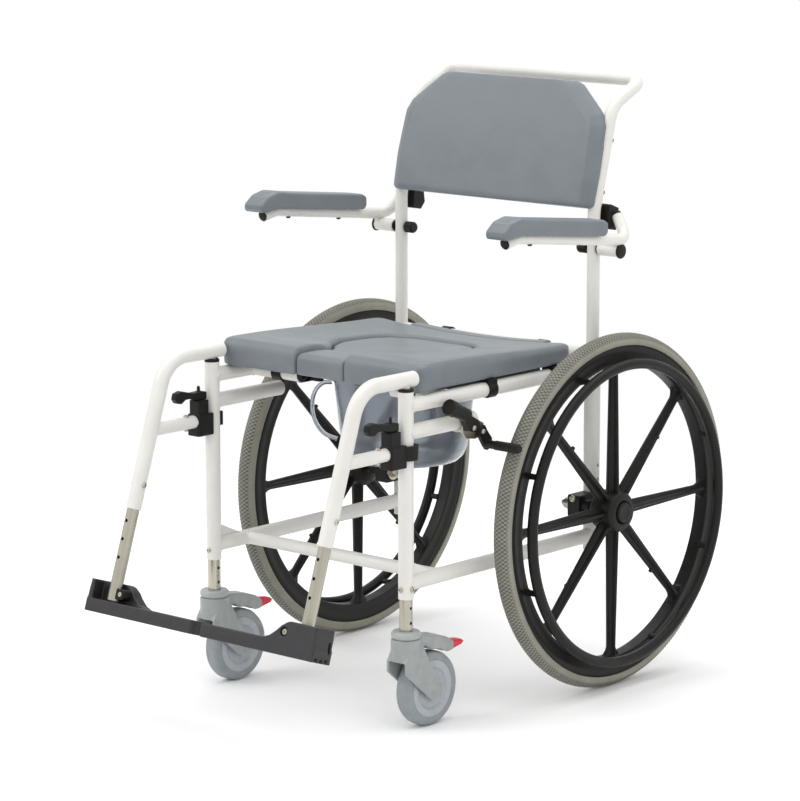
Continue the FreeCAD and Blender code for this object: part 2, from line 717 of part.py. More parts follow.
def leg_mouldings(left):
    """The catch near the top of the leg and the footplate's hinge lug at its foot."""
    catch = latch_block()
    pin, lug = plate_hinge()
    return Part.makeCompound([catch if left else mirrored(catch), placed_at_leg(lug, left)])


def footplate_moulding():
    """Drawn for the sitter's left: x outwards from the leg tube, y back from it, z up along it. The
    open side, where the tube stands, faces back. The right plate is the same moulding turned half round."""
    back = tube_to_open_side
    front = back - footplate_depth
    wall_back = back - 24.0
    tray = block(-footplate_inner, footplate_outer, front, back, footplate_floor, footplate_tread)
    tall = footplate_tread - footplate_floor
    tray = softened(tray, 8.0, lambda edge: (abs(edge.BoundBox.ZLength - tall) < 0.1
                                             and edge.CenterOfMass.x < 0))
    pocket = block(-footplate_inner + 4, footplate_outer - 4, front + 4, back - 4, footplate_floor - 1,
                   footplate_tread - 4)
    rib_pitch = 26.0
    ribs = [block(-footplate_inner + rib_pitch * index, -footplate_inner + rib_pitch * index + 2.5, front,
                  back,
                  footplate_floor, footplate_tread) for index in range(1, 9)]
    shell = tray.cut(pocket).fuse(tray.common(Part.makeCompound(ribs)))
    profile = [(footplate_outer, footplate_floor + 2), (footplate_outer - 3, hump_top), (-8, hump_top + 1),
               (-15, hump_top - 1), (-26, -3), (-36, -13), (-48, -22), (-62, footplate_tread),
               (-62, footplate_tread - 5),
               (footplate_outer - 6, footplate_tread - 5), (footplate_outer - 6, footplate_floor + 2)]
    wall = prism([Vector(x, front, z) for x, z in profile], Vector(0, wall_back - front, 0))
    end_wall = prism([Vector(footplate_outer, front, footplate_floor),
                      Vector(footplate_outer - 3, front, hump_top),
                      Vector(footplate_outer - 11, front, hump_top),
                      Vector(footplate_outer - 11, front, footplate_floor)],
                     Vector(0, footplate_depth, 0))
    end_slot = block(footplate_outer - 7, footplate_outer + 2, back - 10, back - 5, -32, -14)
    notches = [block(footplate_outer - 14, footplate_outer + 1, front + 7 + 12 * index,
                     front + 13 + 12 * index,
                     footplate_floor - 1, footplate_floor + 8) for index in range(3)]
    pin_start = Vector(-plate_pivot_inboard, front - 1, plate_pivot_height)
    pin_hole = cylinder(pin_start, Vector(-plate_pivot_inboard, back, plate_pivot_height),
                        plate_pin_radius + running_clearance)
    head_space = cylinder(pin_start, Vector(-plate_pivot_inboard, front + 6, plate_pivot_height), 7.5)
    shape = shell.fuse(wall).fuse(end_wall)
    return cut_all(shape, [end_slot, pin_hole, head_space] + notches).removeSplitter()


def plate_hinge():
    """The hinge pin with its head, and the lug that holds it beside the foot of the leg tube."""
    back = tube_to_open_side
    x = -plate_pivot_inboard
    front = back - footplate_depth
    pin = cylinder(Vector(x, front + 5.4, plate_pivot_height), Vector(x, back - 4, plate_pivot_height),
                   plate_pin_radius)
    head = revolved([(0, 0), (0, 5.6), (2.8, 4.6), (2.8, 2.2), (1.2, 2.2), (1.2, 0)],
                    Vector(x, front + 5.4, plate_pivot_height), Vector(0, -1, 0))
    lug = block(x - 8, -6, back - 21, back - 5, plate_pivot_height - 9, plate_pivot_height + 9)
    lug = softened(lug, 5.0, lambda edge: abs(edge.BoundBox.YLength - 16) < 0.1 and edge.CenterOfMass.x < x)
    tube = cylinder(Vector(0, 0, -60), Vector(0, 0, 60), leg_inner_radius)
    return pin.fuse(head), lug.cut(tube).cut(pin)


def placed_at_leg(shape, left):
    """Local to the foot of a leg tube, turned half round for the right leg."""
    moved = shape.copy()
    if not left:
        moved.rotate(origin, z_axis, 180)
    moved.rotate(origin, x_axis, -leg_slant)
    side_x = leg_x if left else -leg_x
    moved.translate(Vector(side_x, leg_point(plate_point_z).y, plate_point_z))
    return moved


# ---- armrests ----

def arm_line_z(y):
    """Centre height of the straight part of the arm tube, which falls 6 degrees to the rear."""
    return 791.0 - (y - 242.0) * math.tan(math.radians(6.4))


def arm_path():
    points = [Vector(arm_x, 183, 788), Vector(arm_x, 214, arm_line_z(214) + 0.5),
              Vector(arm_x, 507, arm_line_z(507)),
              Vector(arm_x - 30, 518, 799)]
    return points, [40.0, 29.0]


def arm_tube():
    points, radii = arm_path()
    tube = swept_tube(points, radii, arm_radius, tube_wall)
    solid_tube = swept_rod(points, radii, arm_radius)
    pivot = hollow(Vector(arm_x - 39, rear_post_y, arm_pivot_z), Vector(arm_x + 3, rear_post_y, arm_pivot_z),
                   thin_tube_radius, thin_tube_radius - 8 - running_clearance)
    web = side_prism([(rear_post_y - 9, arm_pivot_z), (rear_post_y + 9, arm_pivot_z),
                      (rear_post_y + 9, arm_line_z(rear_post_y)),
                      (rear_post_y - 9, arm_line_z(rear_post_y))], arm_x - 5, arm_x + 3)
    pivot_space = cylinder(Vector(arm_x - 60, rear_post_y, arm_pivot_z),
                           Vector(arm_x + 60, rear_post_y, arm_pivot_z),
                           thin_tube_radius)
    return tube.fuse(web.cut(solid_tube).cut(pivot_space)).fuse(pivot)


def arm_fittings():
    """Front plug, pivot cap, the rubber stop behind the back tube, and the two pad screws."""
    points, radii = arm_path()
    front_direction = points[0].sub(points[1])
    pieces = [domed_plug(points[0], front_direction, arm_radius, 3.0)]
    cap = revolved([(0, 0), (0, 13), (3, 13), (5, 10), (5.5, 0)],
                   Vector(arm_x + 3.1, rear_post_y, arm_pivot_z), x_axis)
    tube_space = swept_rod(points, radii, arm_radius + 0.05)
    pieces.append(cap.cut(tube_space))
    stop = side_prism([(499, 778), (519, 774), (530, 786), (526, 812), (505, 820), (501, 818)],
                      rear_post_x - 16, arm_x - 33)
    end_direction = points[-1].sub(points[-2]).normalize()
    spigot = cylinder(points[-1].sub(Vector(end_direction).multiply(10)),
                      points[-1].add(Vector(end_direction).multiply(6)),
                      arm_radius - tube_wall - 0.1)
    pieces.append(stop.cut(tube_space).fuse(spigot))
    for y in arm_screw_places:
        screw = pan_head_screw(Vector(arm_x, y, arm_line_z(y) - arm_radius + 0.4), Vector(0, 0, -1), 4.5,
                               1.5)
        pieces.append(screw.cut(tube_space))
    return Part.makeCompound(pieces)


def arm_pad():
    side = [(157, 802), (157, 810), (176, 825), (201, 831), (235, 826), (300, 819), (420, 806), (428, 800),
            (428, 784),
            (421, 778), (300, 790), (235, 797), (205, 800), (176, 797), (163, 796)]
    pad = side_prism(side, arm_x - arm_pad_half_width, arm_x + arm_pad_half_width)
    pad = softened(pad, 6.0, lambda edge: abs(edge.BoundBox.XLength) < 0.1 and edge.CenterOfMass.z > 803)
    points, radii = arm_path()
    straight = [Vector(arm_x, 120, 788 - 63 * 0.21), points[1], points[2]]
    return pad.cut(swept_rod(straight, [40.0], arm_radius + 0.3))


def arm_pivot():
    """Bolt, journal, washer and hand knob that hold an armrest to the back tube."""
    centre = Vector(0, rear_post_y, arm_pivot_z)
    outline = [(rear_post_x - 31, 0), (rear_post_x - 31, 8), (rear_post_x - 28, 10), (rear_post_x - 13, 10),
               (rear_post_x - 11.3, 8), (rear_post_x - 11.3, 4), (rear_post_x + 11.3, 4),
               (rear_post_x + 11.3, 9.5),
               (arm_x - 39.4, 9.5), (arm_x - 39.4, 8), (arm_x + 1, 8), (arm_x + 1, 0)]
    return revolved(outline, centre, x_axis)


# ---- seat and back ----

def plug_outline(gap):
    """Keyhole in plan: a straight slot from the front that opens into an oval over the pan."""
    half = plug_half_width + gap
    oval = plug_oval_half_width + gap
    rear = plug_rear_y + gap
    right = [(half, seat_front_y - 20), (half, 108), (half + 16, 138), (oval - 12, 168), (oval, 200),
             (oval, 282),
             (oval - 10, 318), (oval - 36, rear - 10), (oval - 66, rear)]
    left = [(-x, y) for x, y in reversed(right)]
    return right + left


def seat_pad():
    pad = block(-seat_half_width, seat_half_width, seat_front_y, seat_rear_y, seat_bottom_z, seat_top_z)
    pad = softened(pad, 26.0, lambda edge: abs(edge.BoundBox.ZLength - (seat_top_z - seat_bottom_z)) < 0.1)
    pad = softened(pad, 10.0, lambda edge: edge.CenterOfMass.z > seat_top_z - 0.1)
    tongue = block(-seat_tongue_half_width, seat_tongue_half_width, seat_rear_y - 20, seat_tongue_y,
                   seat_bottom_z, seat_top_z - 10)
    return pad.fuse(tongue).cut(plan_prism(plug_outline(0.8), seat_bottom_z - 1, seat_top_z + 1))


def seat_plug():
    body = plan_prism(plug_outline(-0.4), seat_bottom_z, seat_top_z - 6)
    front = block(-300, 300, -100, seat_front_y + 1, 0, 900)
    return body.cut(front)


def plug_catch():
    """The black catch under the front edge of the pad, beside the opening."""
    return block(59, 77, 94, 106, 534, seat_bottom_z - 0.1)


def rail_clip(centre, axis):
    """A snap clip round a tube, with a foot that is screwed to the underside of the pad."""
    half_length = 10.0
    start = centre.sub(Vector(axis).multiply(half_length))
    end = centre.add(Vector(axis).multiply(half_length))
    ring = cylinder(start, end, tube_radius + 3.2)
    across = y_axis if abs(axis.x) > 0.5 else x_axis
    foot_half = Vector(across).multiply(13.0).add(Vector(axis).multiply(half_length))
    corner = centre.sub(foot_half)
    opposite = centre.add(foot_half)
    foot = block(min(corner.x, opposite.x), max(corner.x, opposite.x), min(corner.y, opposite.y),
                 max(corner.y, opposite.y),
                 centre.z + 6, seat_bottom_z - 0.1)
    below = block(centre.x - 40, centre.x + 40, centre.y - 40, centre.y + 40, centre.z - 30, centre.z - 13.4)
    bore = cylinder(centre.sub(Vector(axis).multiply(60)), centre.add(Vector(axis).multiply(60)),
                    tube_radius + 0.05)
    return cut_all(ring.fuse(foot), [bore, below])


def seat_clips():
    clips = [rail_clip(Vector(front_post_x, y, seat_rail_z), y_axis) for y in (204.0, 372.0)]
    clips.append(rail_clip(Vector(152, seat_stub_y, seat_rail_z), x_axis))
    clips.append(plug_catch())
    clips.append(rear_hook())
    return clips


def rear_hook():
    """Hooks the pad's rear edge to the cross tube behind it."""
    x0, x1 = 100.0, 118.0
    ring = cylinder(Vector(x0, rear_post_y, rear_cross_z), Vector(x1, rear_post_y, rear_cross_z),
                    thin_tube_radius + 3.2)
    arm = block(x0, x1, 410, rear_post_y, 553, seat_bottom_z - 0.1)
    bore = cylinder(Vector(x0 - 5, rear_post_y, rear_cross_z), Vector(x1 + 5, rear_post_y, rear_cross_z),
                    thin_tube_radius + 0.05)
    below = block(x0 - 5, x1 + 5, 400, 520, 530, 552.5)
    return cut_all(ring.fuse(arm), [bore, below])


def on_back(x, along, out):
    """A point on the leaning back: along up the cane from the pad's lower edge, out towards the sitter."""
    lean = math.radians(back_lean)
    y = 459.0 + along * math.sin(lean) - out * math.cos(lean)
    z = 820.0 + along * math.cos(lean) + out * math.sin(lean)
    return Vector(x, y, z)


def back_cane(side, radius):
    """The leaning part of one back tube, as a solid of any radius."""
    line = [(rear_post_y, 700), (rear_post_y, cane_bend_z), (cane_top_y, cane_top_z),
            (push_bar_y, push_bar_z)]
    return swept_rod([Vector(side * rear_post_x, y, z) for y, z in line], [70.0, 50.0], radius)


def backrest_pad():
    outline = [(-224, 2), (-216, -3), (216, -3), (224, 2), (226, 60), (222, 140), (212, 160), (158, 208),
               (146, 213),
               (-146, 213), (-158, 208), (-212, 160), (-222, 140), (-226, 60)]
    points = [on_back(x, along, -21) for x, along in outline]
    thickness = on_back(0, 0, 5).sub(on_back(0, 0, -21))
    pad = prism(points, thickness)
    pad = softened(pad, 7.0, lambda edge: abs(edge.CenterOfMass.sub(on_back(0, 0, 5)).dot(thickness)) < 1.0)
    return cut_all(pad, [back_cane(side, thin_tube_radius + 0.3) for side in (-1, 1)])


def back_clips():
    """Screw heads on the backs of the canes, which hold the pad."""
    cane = back_cane(1, thin_tube_radius + 0.05)
    clips = []
    for along in (30.0, 120.0):
        start = on_back(rear_post_x, along, -50)
        end = on_back(rear_post_x, along, -21)
        lean = math.radians(back_lean)
        pad_y = on_back(0, along, 0).y
        cane_y = rear_post_y + (on_back(0, along, 0).z - cane_bend_z) * math.tan(math.radians(14.87))
        cane_centre_out = pad_y - cane_y
        screw = pan_head_screw(on_back(rear_post_x, along, cane_centre_out - thin_tube_radius - 0.2),
                               start.sub(end), 5.5, 1.4)
        clips.append(screw.cut(cane))
    return clips


def pad_clips():
    return both_sides(Part.makeCompound(seat_clips() + back_clips()))


# ---- pan ----

def pan():
    outer = [(0, 0), (0, 78), (4, 92), (12, 101), (26, 107), (60, 112), (142, 121), (142.5, 127),
             (162.5, 127), (162.5, 0)]
    inner = [(pan_wall, 0), (pan_wall, 77), (6, 89.5), (14, 98), (28, 104.4), (60, 109.4), (144.5, 118.5),
             (144.5, 124.4),
             (163, 124.4), (163, 0)]
    centre = Vector(0, pan_y, pan_bottom_z)
    body = revolved(outer, centre, z_axis).cut(revolved(inner, centre, z_axis))
    return body


def pan_handle():
    """The carrying loop, in the upright plane that points to the front right."""
    outward = Vector(-0.749, -0.663, 0)
    loop = [(124.5, 520), (138, 521), (153, 510), (160, 486), (156, 452), (141, 430), (116.5, 421)]
    points = [Vector(0, pan_y, 0).add(Vector(outward).multiply(r)).add(Vector(0, 0, z)) for r, z in loop]
    rod = swept_rod(points, [9.0, 12.0, 18.0, 18.0, 12.0], 5.0)
    pan_space = revolved([(0, 0), (0, 78), (4, 92), (12, 101), (26, 107), (60, 112), (142, 121),
                          (142.5, 127), (162.5, 127),
                          (162.5, 0)], Vector(0, pan_y, pan_bottom_z), z_axis)
    return rod.cut(pan_space)


def pan_rail():
    """A channel under the seat in which the edge of the pan slides out to the rear."""
    wall = block(128.6, 132.0, 118, 448, 521.5, 556)
    ledge = block(122.5, 132.0, 118, 448, 521.5, 525.5)
    flange = block(128.6, 146, 128, 448, 553.2, 556)
    stub_space = block(90, 160, seat_stub_y - 30, seat_stub_y + 14, 500, 560)
    screws = [block(134, 144, y - 5, y + 5, 556, seat_bottom_z) for y in (160.0, 290.0, 415.0)]
    shape = wall.fuse(ledge).fuse(flange).multiFuse(screws)
    return shape.cut(stub_space)


# ---- wheel lock, on the sitter's left ----

def brake_clamp():
    """The split block on the end of the stub rail, with the side plate that carries both pivots."""
    shell = cylinder(Vector(front_post_x, 122, stub_rail_z), Vector(front_post_x, 152, stub_rail_z),
                     tube_radius + 4)
    bore = cylinder(Vector(front_post_x, 100, stub_rail_z), Vector(front_post_x, 170, stub_rail_z),
                    tube_radius + 0.05)
    bridge = block(front_post_x + 8, brake_plate_x, 122, 152, stub_rail_z - 16, stub_rail_z + 6)
    plate = side_prism([(118, 480), (118, 499), (146, 502), (172, 490), (172, 470), (150, 466), (126, 470)],
                       brake_plate_x - 3.0, brake_plate_x)
    holes = [cylinder(Vector(brake_plate_x - 30, y, z), Vector(brake_plate_x + 30, y, z), 2.35)
             for y, z in ((brake_pivot_y, brake_pivot_z), (shoe_pivot_y, shoe_pivot_z))]
    return cut_all(shell.fuse(bridge).fuse(plate), [bore] + holes)


def brake_lever():
    """Grip and cranked lever, turning on the front pivot."""
    x0, x1 = brake_plate_x + 0.6, brake_plate_x + 14.0
    plate = side_prism([(122, 484), (136, 481), (148, 486), (144, 500), (128, 508), (112, 519),
                        (104, 509)], x0, x1)
    pivot_hole = cylinder(Vector(x0 - 5, brake_pivot_y, brake_pivot_z),
                          Vector(x1 + 5, brake_pivot_y, brake_pivot_z), 2.3)
    grip_x = brake_plate_x + 14.0
    near_end = Vector(grip_x, 112, 512)
    far_end = Vector(grip_x, 66, 533)
    grip = cylinder(near_end, far_end, 11.5)
    cap = cylinder(far_end.add(near_end.sub(far_end).normalize().multiply(16)), far_end, 13.5)
    return plate.fuse(grip).fuse(cap).cut(pivot_hole)


def brake_shoe():
    """Cranked arm with the ribbed peg that bears on the tyre."""
    x0, x1 = brake_plate_x + 0.6, brake_plate_x + 8.0
    arm = side_prism([(153, 471), (153, 485), (166, 488), (172, 478), (184, 464), (184, 449), (172, 445),
                      (166, 452)], x0, x1)
    pivot_hole = cylinder(Vector(x0 - 5, shoe_pivot_y, shoe_pivot_z),
                          Vector(x1 + 5, shoe_pivot_y, shoe_pivot_z), 2.3)
    peg_start = Vector(x0 + 2, 171.5, 455.5)
    peg_outline = [(0, 0), (0, 7.0), (22, 7.0)]
    groove = 3.0
    along = 24.0
    while along < 70:
        peg_outline += [(along, 8.0), (along + groove, 8.0), (along + groove + 0.5, 7.2),
                        (along + groove + 1.5, 7.2)]
        along += groove + 2.0
    peg_outline += [(along, 6.5), (along, 0)]
    peg = revolved(peg_outline, peg_start, x_axis)
    return arm.fuse(peg).cut(pivot_hole)


# ---- everything together ----

def main():
    os.makedirs("parts", exist_ok=True)
    export("front_posts", both_sides(front_post()))
    export("rear_posts", both_sides(rear_post()))
    export("back_tube", back_tube())
    export("side_rails", both_sides(side_rail(seat_rail_z, rear_post_y, tube_radius)))
    export("stub_rails", both_sides(side_rail(stub_rail_z, stub_rail_end_y, tube_radius)))
    export("lower_rails", both_sides(side_rail(lower_rail_z, rear_post_y, tube_radius)))
    export("lower_cross_tube", lower_cross_tube())
    export("rear_cross_tube", rear_cross_tube())
    export("seat_stubs", both_sides(seat_stub()))
    export("gussets", both_sides(gusset()))
    export("tube_plugs", tube_plugs())
    export("frame_screws", frame_screws())
    export("caster_stems", both_sides(caster_stem()))
    export("caster_collars", both_sides(caster_collar()))
    export("axle_brackets", both_sides(axle_bracket()))

    export("axles", both_sides(axle()))
    export("wheel_bearings", both_sides(wheel_bearings()))
    export("arm_pivots", both_sides(arm_pivot()))
    export("seat_pad", seat_pad())
    export("backrest_pad", backrest_pad())
    export("pad_clips", pad_clips())
    export("pan_rails", both_sides(pan_rail()))
    export("brake_clamp", brake_clamp())
    export("brake_lever", brake_lever())
    export("brake_shoe", brake_shoe())
    export("seat_plug", seat_plug())
    export("pan", pan())
    export("pan_handle", pan_handle())
    paired = {"tyre": tyre, "wheel": wheel, "handrim": handrim, "hub_cap": hub_cap,
              "caster_fork": caster_fork,
              "caster_hub": caster_hub, "caster_tread": caster_tread, "caster_pedal": caster_pedal,
              "leg_hanger": leg_hanger, "latch_lever": latch_lever, "arm_tube": arm_tube,
              "arm_pad": arm_pad, "arm_fittings": arm_fittings}
    for name, make in paired.items():
        left = make()
        export(name + "_left", left)
        export(name + "_right", mirrored(left))
    for name, left in (("left", True), ("right", False)):
        export("leg_extension_" + name, leg_extension(left))
        export("leg_mouldings_" + name, leg_mouldings(left))
        export("footplate_" + name, placed_at_leg(footplate_moulding(), left))
    whole = FreeCAD.BoundBox()
    for box in bounds:
        whole.add(box)
    print("overall box", whole)


bounds = []
main()
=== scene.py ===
import json
import math

import bmesh
import bpy
import numpy as np
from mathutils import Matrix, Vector


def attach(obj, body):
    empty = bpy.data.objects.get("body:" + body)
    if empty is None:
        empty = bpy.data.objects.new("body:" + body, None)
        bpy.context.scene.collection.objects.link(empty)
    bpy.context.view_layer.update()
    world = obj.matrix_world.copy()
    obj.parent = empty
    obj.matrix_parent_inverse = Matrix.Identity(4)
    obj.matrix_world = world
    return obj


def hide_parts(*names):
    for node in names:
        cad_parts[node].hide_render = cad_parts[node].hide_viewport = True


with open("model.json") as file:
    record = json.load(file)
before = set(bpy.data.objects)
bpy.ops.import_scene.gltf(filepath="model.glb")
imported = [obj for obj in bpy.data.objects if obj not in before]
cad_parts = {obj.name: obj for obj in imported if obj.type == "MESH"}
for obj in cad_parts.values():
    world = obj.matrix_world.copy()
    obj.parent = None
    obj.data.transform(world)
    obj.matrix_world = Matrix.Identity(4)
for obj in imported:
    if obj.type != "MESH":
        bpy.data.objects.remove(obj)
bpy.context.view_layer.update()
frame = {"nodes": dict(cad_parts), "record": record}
mm = 0.001
rowOriginY = 236.25  # design lengths along Y are measured from the front posts
sides = (("left", 1), ("right", -1))


# ---- materials: colours and nodes ----

def hexToLinear(text):
    # sRGB hex to linear: the usual curve, (c + 0.055) / 1.055 to the power 2.4 above the toe
    channels = [int(text[i:i + 2], 16) / 255 for i in (1, 3, 5)]
    return tuple(c / 12.92 if c <= 0.04045 else ((c + 0.055) / 1.055) ** 2.4 for c in channels) + (1.0,)


def addNode(material, kind, settings=None, links=None):
    # one node: settings are attributes or input values, links are {input: output socket}
    node = material.node_tree.nodes.new(kind)
    for name, value in (settings or {}).items():
        if isinstance(name, str) and hasattr(node, name) and not name[0].isupper():
            setattr(node, name, value)
        else:
            node.inputs[name].default_value = value
    for name, source in (links or {}).items():
        material.node_tree.links.new(source, node.inputs[name])
    return node


def surfaceMaterial(name, look):
    # look: colour and second colour mixed by blotches blotchMm wide, roughness from low to high by the same
    # blotches, and a grain of bumps grainMm wide and grainDepthMm deep over edges rounded by edgeMm
    material = bpy.data.materials.new(name)
    material.use_nodes = True
    shader = material.node_tree.nodes["Principled BSDF"]
    place = addNode(material, "ShaderNodeTexCoord").outputs["Object"]
    blotches = addNode(material, "ShaderNodeTexNoise",
                       {"Scale": 1 / (look["blotchMm"] * mm), "Detail": 3.0}, {"Vector": place})
    spread = addNode(material, "ShaderNodeMapRange", {"From Min": 0.35, "From Max": 0.65},
                     {"Value": blotches.outputs["Fac"]})
    # sockets 6 and 7 of the mixing node are its two colours, and output 2 is the mixed one
    pair = {"data_type": "RGBA", 6: hexToLinear(look["colour"]), 7: hexToLinear(look["secondColour"])}
    colour = addNode(material, "ShaderNodeMix", pair, {0: spread.outputs["Result"]})
    # the darker groove colour is painted shade in the tyre's knurl grooves, laid on by the groove attribute
    if "grooveShadeColour" in look:
        groove = addNode(material, "ShaderNodeAttribute", {"attribute_name": "groove"})
        colour = addNode(material, "ShaderNodeMix",
                         {"data_type": "RGBA", 7: hexToLinear(look["grooveShadeColour"])},
                         {0: groove.outputs["Fac"], 6: colour.outputs[2]})
    low, high = look["roughness"]
    rough = addNode(material, "ShaderNodeMapRange",
                    {"From Min": 0.3, "From Max": 0.7, "To Min": low, "To Max": high},
                    {"Value": blotches.outputs["Fac"]})
    rounded = addNode(material, "ShaderNodeBevel", {"samples": 4, "Radius": look["edgeMm"] * mm})
    stretch = addNode(material, "ShaderNodeMapping", {"Scale": look.get("stretch", (1, 1, 1))},
                      {"Vector": place})
    grain = addNode(material, "ShaderNodeTexNoise",
                    {"Scale": 1 / (look["grainMm"] * mm), "Detail": 2.0},
                    {"Vector": stretch.outputs["Vector"]})
    bump = addNode(material, "ShaderNodeBump", {"Strength": 1.0, "Distance": look["grainDepthMm"] * mm},
                   {"Height": grain.outputs["Fac"], "Normal": rounded.outputs["Normal"]})
    tree = material.node_tree
    tree.links.new(colour.outputs[2], shader.inputs["Base Color"])
    tree.links.new(rough.outputs["Result"], shader.inputs["Roughness"])
    tree.links.new(bump.outputs["Normal"], shader.inputs["Normal"])
    for socket, value in look.get("shader", {}).items():
        shader.inputs[socket].default_value = value
    return material


slotLooks = {
    # powder-coated tube: soft satin white with the coat's orange peel
    "white_enamel": surfaceMaterial("whitePowderCoat", {
        "colour": "#DFDDD8", "secondColour": "#DAD8D2", "blotchMm": 60,
        "roughness": (0.3, 0.42), "edgeMm": 1.2, "grainMm": 1.6, "grainDepthMm": 0.03,
        "shader": {"Coat Weight": 0.15, "Coat Roughness": 0.25}}),
    # plated steel: bright, drawn along its length
    "zinc_steel": surfaceMaterial("platedSteel", {
        "colour": "#B9B5A7", "secondColour": "#B0AC9E", "blotchMm": 60,
        "roughness": (0.26, 0.34), "edgeMm": 0.4, "grainMm": 1.5, "grainDepthMm": 0.002,
        "stretch": (1, 1, 0.05), "shader": {"Metallic": 1.0}}),
    # black nylon: satin with a fine spark-eroded grain and weak highlights
    "black_plastic": surfaceMaterial("blackNylon", {
        "colour": "#110F0E", "secondColour": "#161513", "blotchMm": 18,
        "roughness": (0.36, 0.5), "edgeMm": 1.0, "grainMm": 0.5, "grainDepthMm": 0.03,
        "shader": {"Specular IOR Level": 0.25}}),
    # glass-filled nylon of the footplates: greyer and duller
    "charcoal_plastic": surfaceMaterial("charcoalNylon", {
        "colour": "#202022", "secondColour": "#27272A", "blotchMm": 14,
        "roughness": (0.4, 0.55), "edgeMm": 1.0, "grainMm": 0.6, "grainDepthMm": 0.05}),
    # integral-skin polyurethane: slate grey with a leather grain
    "grey_foam": surfaceMaterial("slateFoamSkin", {
        "colour": "#6B7277", "secondColour": "#71787D", "blotchMm": 45,
        "roughness": (0.34, 0.46), "edgeMm": 0.5, "grainMm": 1.1, "grainDepthMm": 0.12}),
    # solid grey tyre: dull, warm grey, dusty; the knurl's grooves are painted darker as painted shade
    "grey_tyre": surfaceMaterial("greyTyreRubber", {
        "colour": "#8D8B7F", "secondColour": "#868477", "blotchMm": 30,
        "roughness": (0.55, 0.7), "edgeMm": 0.3, "grainMm": 0.7, "grainDepthMm": 0.03,
        "grooveShadeColour": "#4E4E4A"}),
    # soft caster tread: even blue-grey, duller than the hub beside it
    "grey_rubber": surfaceMaterial("greyCasterTread", {
        "colour": "#8B9194", "secondColour": "#848A8D", "blotchMm": 12,
        "roughness": (0.45, 0.6), "edgeMm": 0.6, "grainMm": 0.6, "grainDepthMm": 0.03}),
    # fork: smooth grey nylon with moulding sheen
    "fork_grey": surfaceMaterial("forkGreyNylon", {
        "colour": "#979C9B", "secondColour": "#8F9493", "blotchMm": 16,
        "roughness": (0.32, 0.45), "edgeMm": 1.0, "grainMm": 0.7, "grainDepthMm": 0.02}),
    # caster hub: the palest, coolest grey, with a low sheen
    "hub_grey": surfaceMaterial("hubGreyNylon", {
        "colour": "#A7ACB1", "secondColour": "#9FA4AA", "blotchMm": 12,
        "roughness": (0.4, 0.5), "edgeMm": 0.8, "grainMm": 0.6, "grainDepthMm": 0.02}),
    # pale nylon of the caster pedals: a neutral grey
    "pale_grey_plastic": surfaceMaterial("paleGreyNylon", {
        "colour": "#A3A8A8", "secondColour": "#9BA0A0", "blotchMm": 12,
        "roughness": (0.35, 0.45), "edgeMm": 0.8, "grainMm": 0.6, "grainDepthMm": 0.02}),
    # red pedal tip: the one bright colour, a little light passing into it
    "red_plastic": surfaceMaterial("redNylon", {
        "colour": "#D8303F", "secondColour": "#CE2938", "blotchMm": 10,
        "roughness": (0.3, 0.4), "edgeMm": 0.8, "grainMm": 0.5, "grainDepthMm": 0.02,
        "shader": {"Subsurface Weight": 0.1, "Subsurface Radius": (0.004, 0.001, 0.001)}}),
    # smoked polypropylene: milky, lets the wheel behind show through
    "smoke_plastic": surfaceMaterial("smokedPolypropylene", {
        "colour": "#C3C9D0", "secondColour": "#BDC3CA", "blotchMm": 40,
        "roughness": (0.1, 0.16), "edgeMm": 0.5, "grainMm": 3.0, "grainDepthMm": 0.01,
        "shader": {"Transmission Weight": 0.86, "IOR": 1.22}}),
}
slotOf = {part["node"]: part["material_slot"] for part in frame["record"]["subparts"]}
for name, node in frame["nodes"].items():
    node.data.materials.clear()
    node.data.materials.append(slotLooks[slotOf[name]])
bodyOf = {node: body for body, nodes in frame["record"]["behaviour"]["bodies"].items() for node in nodes}
print("materials made")


# ---- meshes from arrays ----

def shell(grid, ringClosed=False):
    # rows of the grid run along the shape and columns go round it; open ends are closed with a fan, and the
    # whole is turned inside out if the volume it encloses comes out negative
    rows, columns = grid.shape[:2]
    points = grid.reshape(-1, 3)
    i = np.arange(rows if ringClosed else rows - 1)[:, None]
    j = np.arange(columns)[None, :]
    ahead = (i + 1) % rows
    beside = (j + 1) % columns
    quads = np.stack([i * columns + j, i * columns + beside, ahead * columns + beside,
                      ahead * columns + j], -1)
    quads = quads.reshape(-1, 4)
    fans = np.zeros((0, 3), int)
    if not ringClosed:
        points = np.vstack([points, grid[0].mean(0), grid[-1].mean(0)])
        around = np.arange(columns)
        following = (around + 1) % columns
        last = (rows - 1) * columns
        start = np.stack([following, around, np.full(columns, rows * columns)], -1)
        end = np.stack([last + around, last + following, np.full(columns, rows * columns + 1)], -1)
        fans = np.vstack([start, end])
    corners = np.vstack([quads[:, [0, 1, 2]], quads[:, [0, 2, 3]], fans])
    a, b, c = points[corners[:, 0]], points[corners[:, 1]], points[corners[:, 2]]
    if np.einsum("ij,ij->i", a, np.cross(b, c)).sum() < 0:
        quads, fans = quads[:, ::-1], fans[:, ::-1]
    return points, quads, fans


def mirrorShell(part):
    points, quads, fans = part
    return points * [-1, 1, 1], quads[:, ::-1], fans[:, ::-1]


def makePiece(name, shells, slot, body, replaced=(), sharpDegrees=40):
    # joins the shells, which are in design millimetres, into one smooth-shaded mesh on a body
    mesh = bpy.data.meshes.new(name)
    counts = np.cumsum([0] + [len(part[0]) for part in shells])
    points = np.vstack([part[0] for part in shells])
    faces = []
    for offset, part in zip(counts, shells):
        faces += (part[1] + offset).tolist() + (part[2] + offset).tolist()
    mesh.from_pydata(((points - [0, rowOriginY, 0]) * mm).tolist(), [], faces)
    return finishPiece(name, mesh, slot, body, replaced, sharpDegrees)


